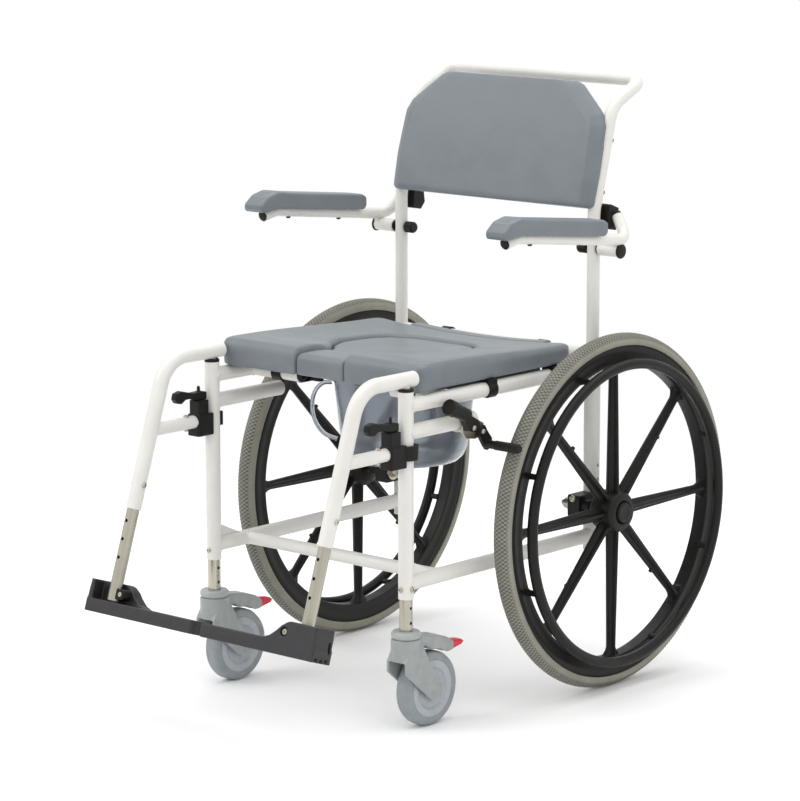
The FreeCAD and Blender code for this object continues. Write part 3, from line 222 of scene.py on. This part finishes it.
def finishPiece(name, mesh, slot, body, replaced, sharpDegrees):
    mesh.polygons.foreach_set("use_smooth", np.ones(len(mesh.polygons), bool))
    mesh.set_sharp_from_angle(angle=math.radians(sharpDegrees))
    mesh.materials.clear()
    mesh.materials.append(slotLooks[slot])
    piece = bpy.data.objects.new(name, mesh)
    bpy.context.collection.objects.link(piece)
    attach(piece, body)
    if replaced:
        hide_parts(*replaced)
    return piece


def sideName(stem, side):
    return stem + side.capitalize()


def revolve(outline, centre, axis, steps=96):
    # outline is (distance along the axis, radius); the circle is drawn round x or z
    outline = np.array(outline, float)
    turn = np.linspace(0, 2 * np.pi, steps, endpoint=False)
    along = np.repeat(outline[:, :1], steps, 1)
    radius = outline[:, 1:]
    first, second = radius * np.cos(turn), radius * np.sin(turn)
    grid = np.stack([along, first, second] if axis == "x" else [first, second, along], -1)
    return grid + np.array(centre, float)


def cornersCut(points, passes):
    # Chaikin's corner cutting on closed outlines, along the second-last axis
    for _ in range(passes):
        following = np.roll(points, -1, -2)
        cut = np.stack([0.75 * points + 0.25 * following, 0.25 * points + 0.75 * following], -2)
        points = cut.reshape(points.shape[:-2] + (-1, points.shape[-1]))
    return points


def sweep(path, across, section):
    # carries a flat section (offset across, offset along the second normal) along a path of points
    tangent = np.gradient(path, axis=0)
    tangent /= np.linalg.norm(tangent, axis=1, keepdims=True)
    side = np.broadcast_to(np.array(across, float), path.shape)
    side = side - (side * tangent).sum(1, keepdims=True) * tangent
    side /= np.linalg.norm(side, axis=1, keepdims=True)
    other = np.cross(tangent, side)
    return path[:, None] + section[None, :, :1] * side[:, None] + section[None, :, 1:] * other[:, None]


def turnAboutX(grid, degrees, centre):
    angle = math.radians(degrees)
    moved = grid - centre
    y = moved[..., 1] * math.cos(angle) - moved[..., 2] * math.sin(angle)
    z = moved[..., 1] * math.sin(angle) + moved[..., 2] * math.cos(angle)
    return np.stack([moved[..., 0], y, z], -1) + centre


# ---- mouldings: the modelled shape with rounded edges ----

mouldings = {
    # node: (grid of the remesh in mm, smoothing passes); * stands for left and right
    "caster_fork_*": (1.1, 10),
    "caster_pedal_*": (0.7, 6),
    "leg_mouldings_*": (0.8, 7),
    "latch_lever_*": (0.7, 8),
    "footplate_*": (1.1, 9),
    "brake_lever": (0.9, 5),
    "brake_shoe": (0.6, 3),
    "brake_clamp": (0.8, 3),
    "arm_fittings_*": (0.8, 8),
}


def evenCopy(node, gridMm, passes):
    # merged copy of a node, remeshed to even squares and relaxed, which rounds every edge a little
    mesh = frame["nodes"][node].data.copy()
    work = bmesh.new()
    work.from_mesh(mesh)
    bmesh.ops.remove_doubles(work, verts=work.verts, dist=0.02 * mm)
    work.to_mesh(mesh)
    work.free()
    holder = bpy.data.objects.new("holder", mesh)
    bpy.context.collection.objects.link(holder)
    even = holder.modifiers.new("even", "REMESH")
    even.mode = "VOXEL"
    even.voxel_size = gridMm * mm
    relax = holder.modifiers.new("relax", "SMOOTH")
    relax.factor = 0.5
    relax.iterations = passes
    bpy.context.view_layer.update()
    graph = bpy.context.evaluated_depsgraph_get()
    baked = bpy.data.meshes.new_from_object(holder.evaluated_get(graph))
    bpy.data.objects.remove(holder)
    return baked


def meshPoints(mesh):
    points = np.zeros(len(mesh.vertices) * 3, np.float32)
    mesh.vertices.foreach_get("co", points)
    return points.reshape(-1, 3).astype(float) / mm + [0, rowOriginY, 0]


def setMeshPoints(mesh, points):
    mesh.vertices.foreach_set("co", ((points - [0, rowOriginY, 0]) * mm).astype(np.float32).ravel())
    mesh.update()


def camelCase(node):
    first, *rest = node.split("_")
    return first + "".join(word.capitalize() for word in rest)


for pattern, (gridMm, passes) in mouldings.items():
    nodes = [pattern.replace("*", side) for side, _ in sides] if "*" in pattern else [pattern]
    for node in nodes:
        mesh = evenCopy(node, gridMm, passes)
        finishPiece(camelCase(node) + "Moulding", mesh, slotOf[node], bodyOf[node], [node], 60)
print("mouldings made")


# ---- seat, plug, backrest and arm pads ----

seatPad = {"halfWidth": 226, "front": 29, "rear": 426, "top": 601, "waist": 566, "bottom": 558,
           "frontRound": 13, "sideRound": 8, "seamRound": 9, "fallToRear": 12,
           "plugDrop": 9, "plugLevels": 0.6, "plugStart": 60, "plugRun": 200,
           "dish": 11, "dishStart": 70, "dishRun": 90, "dishHalfWidth": 205,
           "tongueHalfWidth": 150, "tongueRear": 457, "tongueTop": 590,
           "lipDrop": 3.5, "lipStart": 8, "lipRun": 25, "cornerOut": 4.5, "cornerWide": 41, "cornerDeep": 46,
           "gridMm": 3.0, "passes": 2, "relaxing": 4, "fill": 0.8}
# the plug's outline: a channel to the front edge that opens into an oval
keyhole = np.array([(54, -60), (54, 108), (70, 138), (96, 168), (108, 200), (108, 282), (98, 318), (72, 342),
                    (42, 352), (-42, 352), (-72, 342), (-98, 318), (-108, 282), (-108, 200), (-96, 168),
                    (-70, 138), (-54, 108), (-54, -60)], float)


def distanceTo(outline, x, y):
    # nearest distance from each point to a closed outline of straight sides
    start, end = outline, np.roll(outline, -1, 0)
    side = end - start
    offset = np.stack([x, y], -1)[:, None] - start
    share = np.clip((offset * side).sum(-1) / (side * side).sum(-1), 0, 1)
    return np.sqrt(((offset - share[..., None] * side) ** 2).sum(-1).min(1))


def rounding(distance, radius):
    # how far a quarter-round of that radius has dropped at this distance from the edge
    inward = np.clip(radius - distance, 0, radius)
    return radius - np.sqrt(radius ** 2 - inward ** 2)


def smoothStep(value):
    value = np.clip(value, 0, 1)
    return value * value * (3 - 2 * value)


def seatTop(x, y, settings):
    # height of the pad's top: it falls to the rear, is dished across, and is rounded over at front and sides
    start = settings["dishStart"]
    backward = smoothStep((y - start) / (settings["rear"] - start))
    across = np.clip(np.abs(x) / settings["dishHalfWidth"], 0, 1)
    height = settings["top"] - settings["fallToRear"] * backward
    height -= settings["dish"] * smoothStep((y - start) / settings["dishRun"]) * (1 - across ** 2)
    height -= rounding(y - settings["front"], settings["frontRound"])
    height -= rounding(settings["halfWidth"] - np.abs(x), settings["sideRound"])
    onTongue = np.abs(x) < settings["tongueHalfWidth"] + 1
    rear = np.where(onTongue, settings["tongueRear"], settings["rear"])
    return height - rounding(rear - y, settings["sideRound"])


def shapeSeat(node, oldTop, drop, settings):
    # everything above the waist is stretched from the flat top to the shaped one, and the underside is let
    # down into a lip that fades out towards the front; the plug's drop eases off from its front to its middle
    mesh = evenCopy(node, settings["gridMm"], settings["passes"])
    points = meshPoints(mesh)
    x, y, z = points.T
    waist = settings["waist"]
    target = seatTop(x, y, settings) - rounding(distanceTo(keyhole, x, y), settings["seamRound"])
    eased = smoothStep((y - settings["plugStart"]) / settings["plugRun"])
    target -= drop * (1 - settings["plugLevels"] * eased)
    ceiling = np.where(y > settings["rear"] + 1, settings["tongueTop"], oldTop)
    lift = np.clip((z - waist) / (ceiling - waist), 0, 1)
    lip = settings["lipDrop"] * smoothStep((waist - z) / (waist - settings["bottom"]))
    lip *= 1 - smoothStep((y - settings["front"] - settings["lipStart"]) / settings["lipRun"])
    points[:, 2] = np.where(z > waist, waist + lift * (target - waist), z - lip)
    # the plan corners at the front are drawn out towards a smaller radius
    fromMiddle = np.abs(x) - (settings["halfWidth"] - settings["cornerWide"])
    fromBehind = settings["front"] + settings["cornerDeep"] - y
    near = smoothStep(fromMiddle / settings["cornerWide"]) * smoothStep(fromBehind / settings["cornerDeep"])
    points[:, 0] += settings["cornerOut"] * near * np.sign(x)
    points[:, 1] -= settings["cornerOut"] * near
    setMeshPoints(mesh, points)
    relaxMesh(mesh, settings["relaxing"])
    piece = finishPiece(camelCase(node) + "Foam", mesh, "grey_foam", bodyOf[node], [node], 180)


def relaxMesh(mesh, passes):
    work = bmesh.new()
    work.from_mesh(mesh)
    for _ in range(passes):
        bmesh.ops.smooth_vert(work, verts=work.verts, factor=0.5,
                              use_axis_x=True, use_axis_y=True, use_axis_z=True)
    work.to_mesh(mesh)
    work.free()


shapeSeat("seat_pad", 600, 0, seatPad)
shapeSeat("seat_plug", 594, seatPad["plugDrop"], seatPad)

backPad = {"foot": (459, 820), "lean": 15, "hollow": 8, "crown": 3, "halfWidth": 226, "height": 213,
           "bevelWidth": 20, "bevelDrop": 11, "setBack": 2, "flatBehind": 21, "depth": 26,
           "gridMm": 2.6, "passes": 4, "relaxing": 2, "fill": 0.85}
# the pad's outline across and up its face, with the two cut corners
backSides = np.array([(-224, -80), (-226, 60), (-222, 140), (-212, 160), (0, 343), (212, 160), (222, 140),
                      (226, 60), (224, -80)], float)


def shapeBack(settings):
    # the face towards the sitter is hollowed across and a little crowned upwards; the back stays flat
    mesh = evenCopy("backrest_pad", settings["gridMm"], settings["passes"])
    points = meshPoints(mesh)
    lean = math.radians(settings["lean"])
    towards = np.array([0, -math.cos(lean), math.sin(lean)])
    upwards = np.array([0, math.sin(lean), math.cos(lean)])
    local = points - [0, *settings["foot"]]
    out, along = local @ towards, local @ upwards
    share = np.clip((out + settings["flatBehind"]) / settings["depth"], 0, 1)
    across = np.clip(np.abs(points[:, 0]) / settings["halfWidth"], 0, 1)
    bulge = settings["crown"] * np.sin(np.pi * np.clip(along / settings["height"], 0, 1))
    shift = -settings["hollow"] * (1 - across ** 2) + bulge - settings["setBack"]
    inset = np.clip(distanceTo(backSides, points[:, 0], along) / settings["bevelWidth"], 0, 1)
    shift -= settings["bevelDrop"] * (1 - inset)
    setMeshPoints(mesh, points + (share * shift)[:, None] * towards)
    relaxMesh(mesh, settings["relaxing"])
    piece = finishPiece("backrestFoam", mesh, "grey_foam", "frame", ["backrest_pad"], 180)


shapeBack(backPad)
armPad = {"grooveFront": 166, "groovePitch": 11, "grooves": 4, "grooveDepth": 1.8,
          "middle": 272, "halfWidth": 20, "top": 806, "topFade": 6, "endFade": 0.5,
          "gridMm": 1.8, "passes": 6, "relaxing": 2, "fill": 0.85}


def shapeArmPad(side, settings):
    # shallow finger grooves across the top of the nose: a cosine wave that fades out at both ends
    node = "arm_pad_" + side
    mesh = evenCopy(node, settings["gridMm"], settings["passes"])
    points = meshPoints(mesh)
    along = (points[:, 1] - settings["grooveFront"]) / settings["groovePitch"]
    fade = settings["endFade"]
    window = smoothStep(along / fade) * smoothStep((settings["grooves"] - along) / fade)
    offMiddle = np.abs(np.abs(points[:, 0]) - settings["middle"])
    centred = 1 - np.clip(offMiddle / settings["halfWidth"], 0, 1) ** 2
    top = smoothStep((points[:, 2] - settings["top"]) / settings["topFade"])
    points[:, 2] -= settings["grooveDepth"] * (0.5 + 0.5 * np.cos(2 * np.pi * along)) * window * top * centred
    setMeshPoints(mesh, points)
    relaxMesh(mesh, settings["relaxing"])
    piece = finishPiece(sideName("armFoam", side), mesh, "grey_foam", "armrest_" + side, [node], 180)


for side, _ in sides:
    shapeArmPad(side, armPad)
print("pads made")


# ---- rear wheels ----

rearWheel = {"x": 292, "y": 447, "z": 305, "tyreRadius": 305, "section": 16, "rimOuter": 285, "rimInner": 253,
             "knurlPitch": 7.0, "knurlDepth": 1.0, "knurlSamples": 6, "rowAngle": 18,
             "waver": 0.6, "wavers": 7, "bandTilt": 0.1, "bandEdge": 0.45, "bandFade": 0.12, "spokes": 8,
             "handrimX": 327, "handrimRadius": 256, "handrimSection": 9, "legRadius": 257, "legFoot": 10}
spokeShape = {"root": 24, "flare": 26.0, "web": (12.5, 7.0), "outerRib": (15.0, 9.0), "innerRib": (13.0, 8.5),
              "rib": 2.6, "ribFillet": 1.5, "thick": 3.6, "thickens": 4.4, "tabRadius": 3.6, "tabAt": 165}


def tyreShell(w):
    # a round section carried round the wheel; over the tread band it stands up in rows of blocks, a sine wave
    # squared off by tanh that is half a pitch out of step from each row to the next and wavers a little
    turns = round(2 * math.pi * w["tyreRadius"] / w["knurlPitch"])
    theta = np.linspace(0, 2 * np.pi, turns * w["knurlSamples"], endpoint=False)[:, None]
    psi = np.linspace(0, 2 * np.pi, 40, endpoint=False)[None, :]
    band = smoothStep((np.cos(psi - w["bandTilt"]) - w["bandEdge"]) / w["bandFade"])
    row = np.floor(psi / math.radians(w["rowAngle"]) + 0.5)
    waves = np.tanh(2.5 * np.sin(turns * theta + np.pi * row + w["waver"] * np.sin(w["wavers"] * theta)))
    groove = band * (1 - waves) * 0.5
    radius = w["section"] - w["knurlDepth"] * groove
    fromAxle = w["tyreRadius"] - w["section"] + radius * np.cos(psi)
    fromAxle = np.maximum(fromAxle, w["rimOuter"])
    x = w["x"] + radius * np.sin(psi)
    grid = np.stack([x + 0 * theta, w["y"] + fromAxle * np.cos(theta), w["z"] + fromAxle * np.sin(theta)], -1)
    return grid, groove


def spokeShells(w, p, index):
    # T-shaped section lofted outwards: a flat web with a rib down each face; near the rim the web flares out
    # in a quarter-round, so that the windows have round corners
    share = np.linspace(0, 1, 40)
    reach = p["root"] + share * (w["rimInner"] + 4 - p["root"])
    inFlare = np.clip((reach - (w["rimInner"] + 3 - p["flare"])) / p["flare"], 0, 1)
    web = p["web"][0] + (p["web"][1] - p["web"][0]) * share
    web = web + p["flare"] * (1 - np.sqrt(np.clip(1 - inFlare ** 2, 0, 1)))
    thick = p["thick"] + p["thickens"] * inFlare ** 2
    outerRib = p["outerRib"][0] + (p["outerRib"][1] - p["outerRib"][0]) * share
    innerRib = p["innerRib"][0] + (p["innerRib"][1] - p["innerRib"][0]) * share
    rib = np.full(len(share), p["rib"])
    foot = rib + p["ribFillet"]
    corners = [(-web, -thick), (-foot, -thick), (-rib, -innerRib), (rib, -innerRib), (foot, -thick),
               (web, -thick), (web, thick), (foot, thick), (rib, outerRib), (-rib, outerRib),
               (-foot, thick), (-web, thick)]
    offsets = cornersCut(np.stack([np.stack(corner, -1) for corner in corners], 1), 2)
    grid = np.stack([w["x"] + offsets[..., 1], w["y"] + offsets[..., 0],
                     w["z"] + np.repeat(reach[:, None], offsets.shape[1], 1)], -1)
    parts = [grid]
    if index % 2:
        # a small round tab stands out from the side of every other spoke
        turn = np.linspace(0, 2 * np.pi, 16, endpoint=False)
        circle = p["tabRadius"] * np.stack([np.cos(turn), np.sin(turn)], -1)
        tab = np.array([(w["x"] + 1, w["y"] + y, w["z"] + p["tabAt"]) for y in (-2, 12, 13.5)], float)
        narrowing = np.array([1, 1, 0.7])[:, None, None]
        parts.append((sweep(tab, (1, 0, 0), circle) - tab[:, None]) * narrowing + tab[:, None])
    centre = np.array([0, w["y"], w["z"]])
    return [turnAboutX(part, 360 / w["spokes"] * index, centre) for part in parts]


def wheelShells(w):
    centre = (0, w["y"], w["z"])
    rimOutline = [(-12.5, 285), (-13.6, 283), (-13.8, 276), (-13, 272), (-12, 268), (-12, 260), (-12.6, 256),
                  (-11.6, 253.6), (-9, 253), (0, 252.6), (9, 253), (11.6, 253.6), (12.6, 256), (12, 260),
                  (12, 268), (13, 272), (13.8, 276), (13.6, 283), (12.5, 285)]
    rim = revolve([(w["x"] + along, radius) for along, radius in rimOutline], centre, "x", 192)
    # the outline closes on itself through the bed of the tyre, so the ring runs right round it
    rim = np.swapaxes(rim, 0, 1)
    hubOutline = [(262, 8), (262, 22), (264, 26), (269, 32), (275, 34.5), (300, 35.5), (308, 35), (313, 33),
                  (316, 29.5), (317, 25), (317, 21), (315.4, 19.8), (314.6, 18.6), (311.6, 18.2), (311.6, 8)]
    hub = revolve(hubOutline, centre, "x", 96)
    hub = np.swapaxes(hub, 0, 1)
    parts = [shell(rim, True), shell(hub, True)]
    for index in range(w["spokes"]):
        parts += [shell(grid) for grid in spokeShells(w, spokeShape, index)]
    return parts


def handrimShells(w):
    # ring of round section with eight waisted legs, which stand on the rim midway between the spokes
    turn = np.linspace(0, 2 * np.pi, 160, endpoint=False)[:, None]
    around = np.linspace(0, 2 * np.pi, 24, endpoint=False)[None, :]
    fromAxle = w["handrimRadius"] + w["handrimSection"] * np.cos(around)
    ring = np.stack([w["handrimX"] + w["handrimSection"] * np.sin(around) + 0 * turn,
                     w["y"] + fromAxle * np.cos(turn), w["z"] + fromAxle * np.sin(turn)], -1)
    parts = [shell(ring, True)]
    outline = np.array([(-1, -1), (1, -1), (1, 1), (-1, 1)], float)
    outline = cornersCut(outline, 2)
    share = np.linspace(0, 1, 12)
    halfWide = 5.0 + 2.5 * (2 * share - 1) ** 4
    halfDeep = 4.5 + 1.5 * (2 * share - 1) ** 4
    start = w["x"] + w["legFoot"]
    x = start + share * (w["handrimX"] - 3 - start)
    centre = np.array([0, w["y"], w["z"]])
    for index in range(w["spokes"]):
        leg = np.stack([np.repeat(x[:, None], len(outline), 1), w["y"] + halfWide[:, None] * outline[:, 0],
                        w["z"] + w["legRadius"] + halfDeep[:, None] * outline[:, 1]], -1)
        parts.append(shell(turnAboutX(leg, 360 / w["spokes"] * (index + 0.5), centre)))
    return parts


def capShells(w):
    outline = [(311.4, 0.2), (311.4, 17.6), (318.2, 17.6), (319.8, 16.6), (320.6, 14.5), (320.2, 12),
               (319.8, 0.2)]
    return [shell(revolve(outline, (0, w["y"], w["z"]), "x", 72))]


tyreGrid, tyreGroove = tyreShell(rearWheel)
wheelPieces = {
    "tyreRing": ([shell(tyreGrid, True)], "grey_tyre", "tyre", 180),
    "magWheel": (wheelShells(rearWheel), "black_plastic", "wheel", 50),
    "pushRing": (handrimShells(rearWheel), "black_plastic", "handrim", 50),
    "hubCover": (capShells(rearWheel), "black_plastic", "hub_cap", 40),
}
for side, sign in sides:
    for stem, (shells, slot, node, sharp) in wheelPieces.items():
        placed = shells if sign > 0 else [mirrorShell(part) for part in shells]
        piece = makePiece(sideName(stem, side), placed, slot, "wheel_" + side, [node + "_" + side], sharp)
        # the groove depth goes on the tyre as an attribute, which its material turns into painted shade in
        # the grooves
        if stem == "tyreRing":
            depth = piece.data.attributes.new("groove", "FLOAT", "POINT")
            depth.data.foreach_set("value", tyreGroove.astype(np.float32).ravel())
print("rear wheels made")


# ---- welds ----

weld = {"bead": 1.7, "ripple": 0.12, "ripples": 30}
tube = {"frame": 12.7, "rear": 14.0, "brace": 11.0}
weldPlaces = [
    # (where the tubes' axes meet, side the bead is on, radius run into, radius of the tube, the tube's axis,
    # whether it runs into another level tube)
    ((218.5, 0, 540.0), 1, tube["frame"], tube["frame"], "y", False),
    ((218.5, 484, 540.0), -1, tube["rear"], tube["frame"], "y", False),
    ((218.5, 0, 246.0), 1, tube["frame"], tube["frame"], "y", False),
    ((218.5, 484, 246.0), -1, tube["rear"], tube["frame"], "y", False),
    ((218.5, 0, 495.5), 1, tube["frame"], tube["frame"], "y", False),
    ((218.5, 80, 246), -1, tube["frame"], tube["brace"], "x", True),
    ((218.5, 100, 540), -1, tube["frame"], tube["frame"], "x", True),
    ((218, 484, 561.5), -1, tube["brace"], tube["brace"], "x", False),
]


def saddleBead(centre, along, postRadius, railRadius, axis, crossLevel, settings):
    # bead round the line where a level tube (along x or y) runs into an upright or a crossing tube: for each
    # angle round the tube, the distance out is where the circle of the other tube lies
    angle = np.linspace(0, 2 * np.pi, 102, endpoint=False)
    sideways = railRadius * np.cos(angle)
    upward = railRadius * np.sin(angle)
    crossing = upward if crossLevel else sideways
    out = along * np.sqrt(np.clip(postRadius ** 2 - crossing ** 2, 0, None))
    level = 0 * out
    ahead = np.array([0, 1, 0] if axis == "y" else [1, 0, 0])
    across = np.stack([sideways, level, upward] if axis == "y" else [level, sideways, upward], -1)
    tubeCentre = np.array(centre, float) + ahead * out[:, None]
    path = tubeCentre + across
    tangent = np.roll(path, -1, 0) - np.roll(path, 1, 0)
    tangent /= np.linalg.norm(tangent, axis=1, keepdims=True)
    outward = path - tubeCentre
    outward /= np.linalg.norm(outward, axis=1, keepdims=True)
    other = np.cross(tangent, outward)
    turn = np.linspace(0, 2 * np.pi, 10, endpoint=False)
    size = settings["bead"] + settings["ripple"] * np.sin(settings["ripples"] * angle)
    return (path[:, None] + size[:, None, None] * (np.cos(turn)[None, :, None] * outward[:, None]
                                                  + np.sin(turn)[None, :, None] * other[:, None]))


welds = [shell(saddleBead(*place, weld), True) for place in weldPlaces]
makePiece("frameWelds", welds + [mirrorShell(part) for part in welds], "white_enamel", "frame")
print("welds made")


# ---- pan ----

panShape = {"y": 245, "bottom": 385, "handleTurn": (-0.749, -0.663), "strapHalf": (7.0, 3.6)}


def panShells(p):
    # one outline, up the outside and down the inside, turned about the upright axis
    outline = [(0, 0.2), (0, 70), (1, 80), (4, 92), (12, 101), (26, 107), (60, 112), (100, 116), (142, 121),
               (142.5, 126), (144, 127), (161, 127), (162.5, 126), (162.5, 124.8), (145.5, 124.4),
               (144.3, 118.6), (100, 113.4), (60, 109.4), (28, 104.4), (14, 98), (6, 89.5), (3.4, 80),
               (2.6, 70), (2.6, 0.2)]
    return [shell(revolve(outline, (0, p["y"], p["bottom"]), "z", 128))]


def strapShells(p):
    # a C-shaped strap of rounded section: a Catmull-Rom curve through a few points in the upright plane
    outline = np.array([(118, 521), (124, 520.5), (139, 519), (152, 506), (157.5, 484), (153.5, 455),
                        (138, 432), (115.5, 422), (105, 419)], float)
    before, start, end, after = outline[:-3], outline[1:-2], outline[2:-1], outline[3:]
    t = np.linspace(0, 1, 12, endpoint=False)[None, :, None]
    before, start, end, after = (part[:, None] for part in (before, start, end, after))
    smooth = 0.5 * (2 * start + (end - before) * t + (2 * before - 5 * start + 4 * end - after) * t ** 2
                    + (3 * start - before - 3 * end + after) * t ** 3)
    smooth = np.vstack([smooth.reshape(-1, 2), outline[-2:-1]])
    outX, outY = p["handleTurn"]
    path = np.stack([smooth[:, 0] * outX, p["y"] + smooth[:, 0] * outY, smooth[:, 1]], -1)
    turn = np.linspace(0, 2 * np.pi, 24, endpoint=False)
    section = np.stack([p["strapHalf"][0] * np.cos(turn), p["strapHalf"][1] * np.sin(turn)], -1)
    return [shell(sweep(path, (-outY, outX, 0), section))]


makePiece("panBowl", panShells(panShape), "smoke_plastic", "pan", ["pan"], 50)
makePiece("panStrap", strapShells(panShape), "smoke_plastic", "pan", ["pan_handle"], 60)
print("pan made")


# ---- camera, floor and light ----

cameraSettings = {"place": (3.79037, -4.28751, 1.54339), "turn": (90 - 10.4195, 0.076, 41.5156),
                  "lens": 153.52, "shift": (0.0021, -0.00125)}
floorSettings = {"half": 40.0, "paper": 0.96, "roughness": 0.9, "fadeFrom": 1.2, "fadeTo": 2.2}
# name: (place, aimed at, side of the square in metres, watts)
lamps = {
    "keyLight": ((-2.4, -3.2, 3.4), (0, 0, 0.5), 2.4, 50),
    "fillLight": ((3.4, -1.0, 2.2), (0, 0, 0.5), 2.5, 10),
    "topLight": ((0, 0.6, 4.0), (0, 0, 0), 4.5, 88),
}
surroundings = 0.92


def makeCamera(settings):
    data = bpy.data.cameras.new("studioCamera")
    data.lens = settings["lens"]
    data.sensor_width = 36
    data.clip_end = 100
    data.shift_x, data.shift_y = settings["shift"]
    camera = bpy.data.objects.new("studioCamera", data)
    camera.location = settings["place"]
    camera.rotation_euler = [math.radians(a) for a in settings["turn"]]
    bpy.context.collection.objects.link(camera)
    bpy.context.scene.camera = camera


def areaLight(name, place, aim, size, power):
    data = bpy.data.lights.new(name, "AREA")
    data.shape = "SQUARE"
    data.size = size
    data.energy = power
    lamp = bpy.data.objects.new(name, data)
    lamp.location = place
    lamp.rotation_euler = (Vector(aim) - Vector(place)).to_track_quat("-Z", "Y").to_euler()
    bpy.context.collection.objects.link(lamp)


def makeFloor(settings):
    mesh = bpy.data.meshes.new("floor")
    half = settings["half"]
    corners = [(-half, -half, 0), (half, -half, 0), (half, half, 0), (-half, half, 0)]
    mesh.from_pydata(corners, [], [(0, 1, 2, 3)])
    floor = bpy.data.objects.new("floor", mesh)
    bpy.context.collection.objects.link(floor)
    paper = bpy.data.materials.new("paperFloor")
    paper.use_nodes = True
    shader = paper.node_tree.nodes["Principled BSDF"]
    shader.inputs["Base Color"].default_value = (settings["paper"],) * 3 + (1,)
    shader.inputs["Roughness"].default_value = settings["roughness"]
    shader.inputs["Specular IOR Level"].default_value = 0.0
    # the paper fades into the white surroundings with distance from the chair
    place = addNode(paper, "ShaderNodeTexCoord").outputs["Object"]
    distance = addNode(paper, "ShaderNodeVectorMath", {"operation": "LENGTH"}, {0: place}).outputs["Value"]
    fade = addNode(paper, "ShaderNodeMapRange",
                   {"From Min": settings["fadeFrom"], "From Max": settings["fadeTo"]}, {"Value": distance})
    clear = addNode(paper, "ShaderNodeBsdfTransparent")
    mix = addNode(paper, "ShaderNodeMixShader", {},
                  {0: fade.outputs["Result"], 1: shader.outputs[0], 2: clear.outputs[0]})
    surface = paper.node_tree.nodes["Material Output"].inputs["Surface"]
    paper.node_tree.links.new(mix.outputs[0], surface)
    mesh.materials.append(paper)


def makeWorld(strength):
    # the camera sees plain white; everything else is lit by a softer white
    world = bpy.data.worlds.new("studio")
    world.use_nodes = True
    tree = world.node_tree
    lit = tree.nodes["Background"]
    lit.inputs["Color"].default_value = (1, 1, 1, 1)
    lit.inputs["Strength"].default_value = strength
    seen = tree.nodes.new("ShaderNodeBackground")
    seen.inputs["Color"].default_value = (1, 1, 1, 1)
    path = tree.nodes.new("ShaderNodeLightPath")
    mix = tree.nodes.new("ShaderNodeMixShader")
    tree.links.new(path.outputs["Is Camera Ray"], mix.inputs[0])
    tree.links.new(lit.outputs[0], mix.inputs[1])
    tree.links.new(seen.outputs[0], mix.inputs[2])
    tree.links.new(mix.outputs[0], tree.nodes["World Output"].inputs["Surface"])
    bpy.context.scene.world = world


makeCamera(cameraSettings)
makeFloor(floorSettings)
for name, (place, aim, size, power) in lamps.items():
    areaLight(name, place, aim, size, power)
makeWorld(surroundings)
bpy.context.scene.view_settings.view_transform = "Standard"
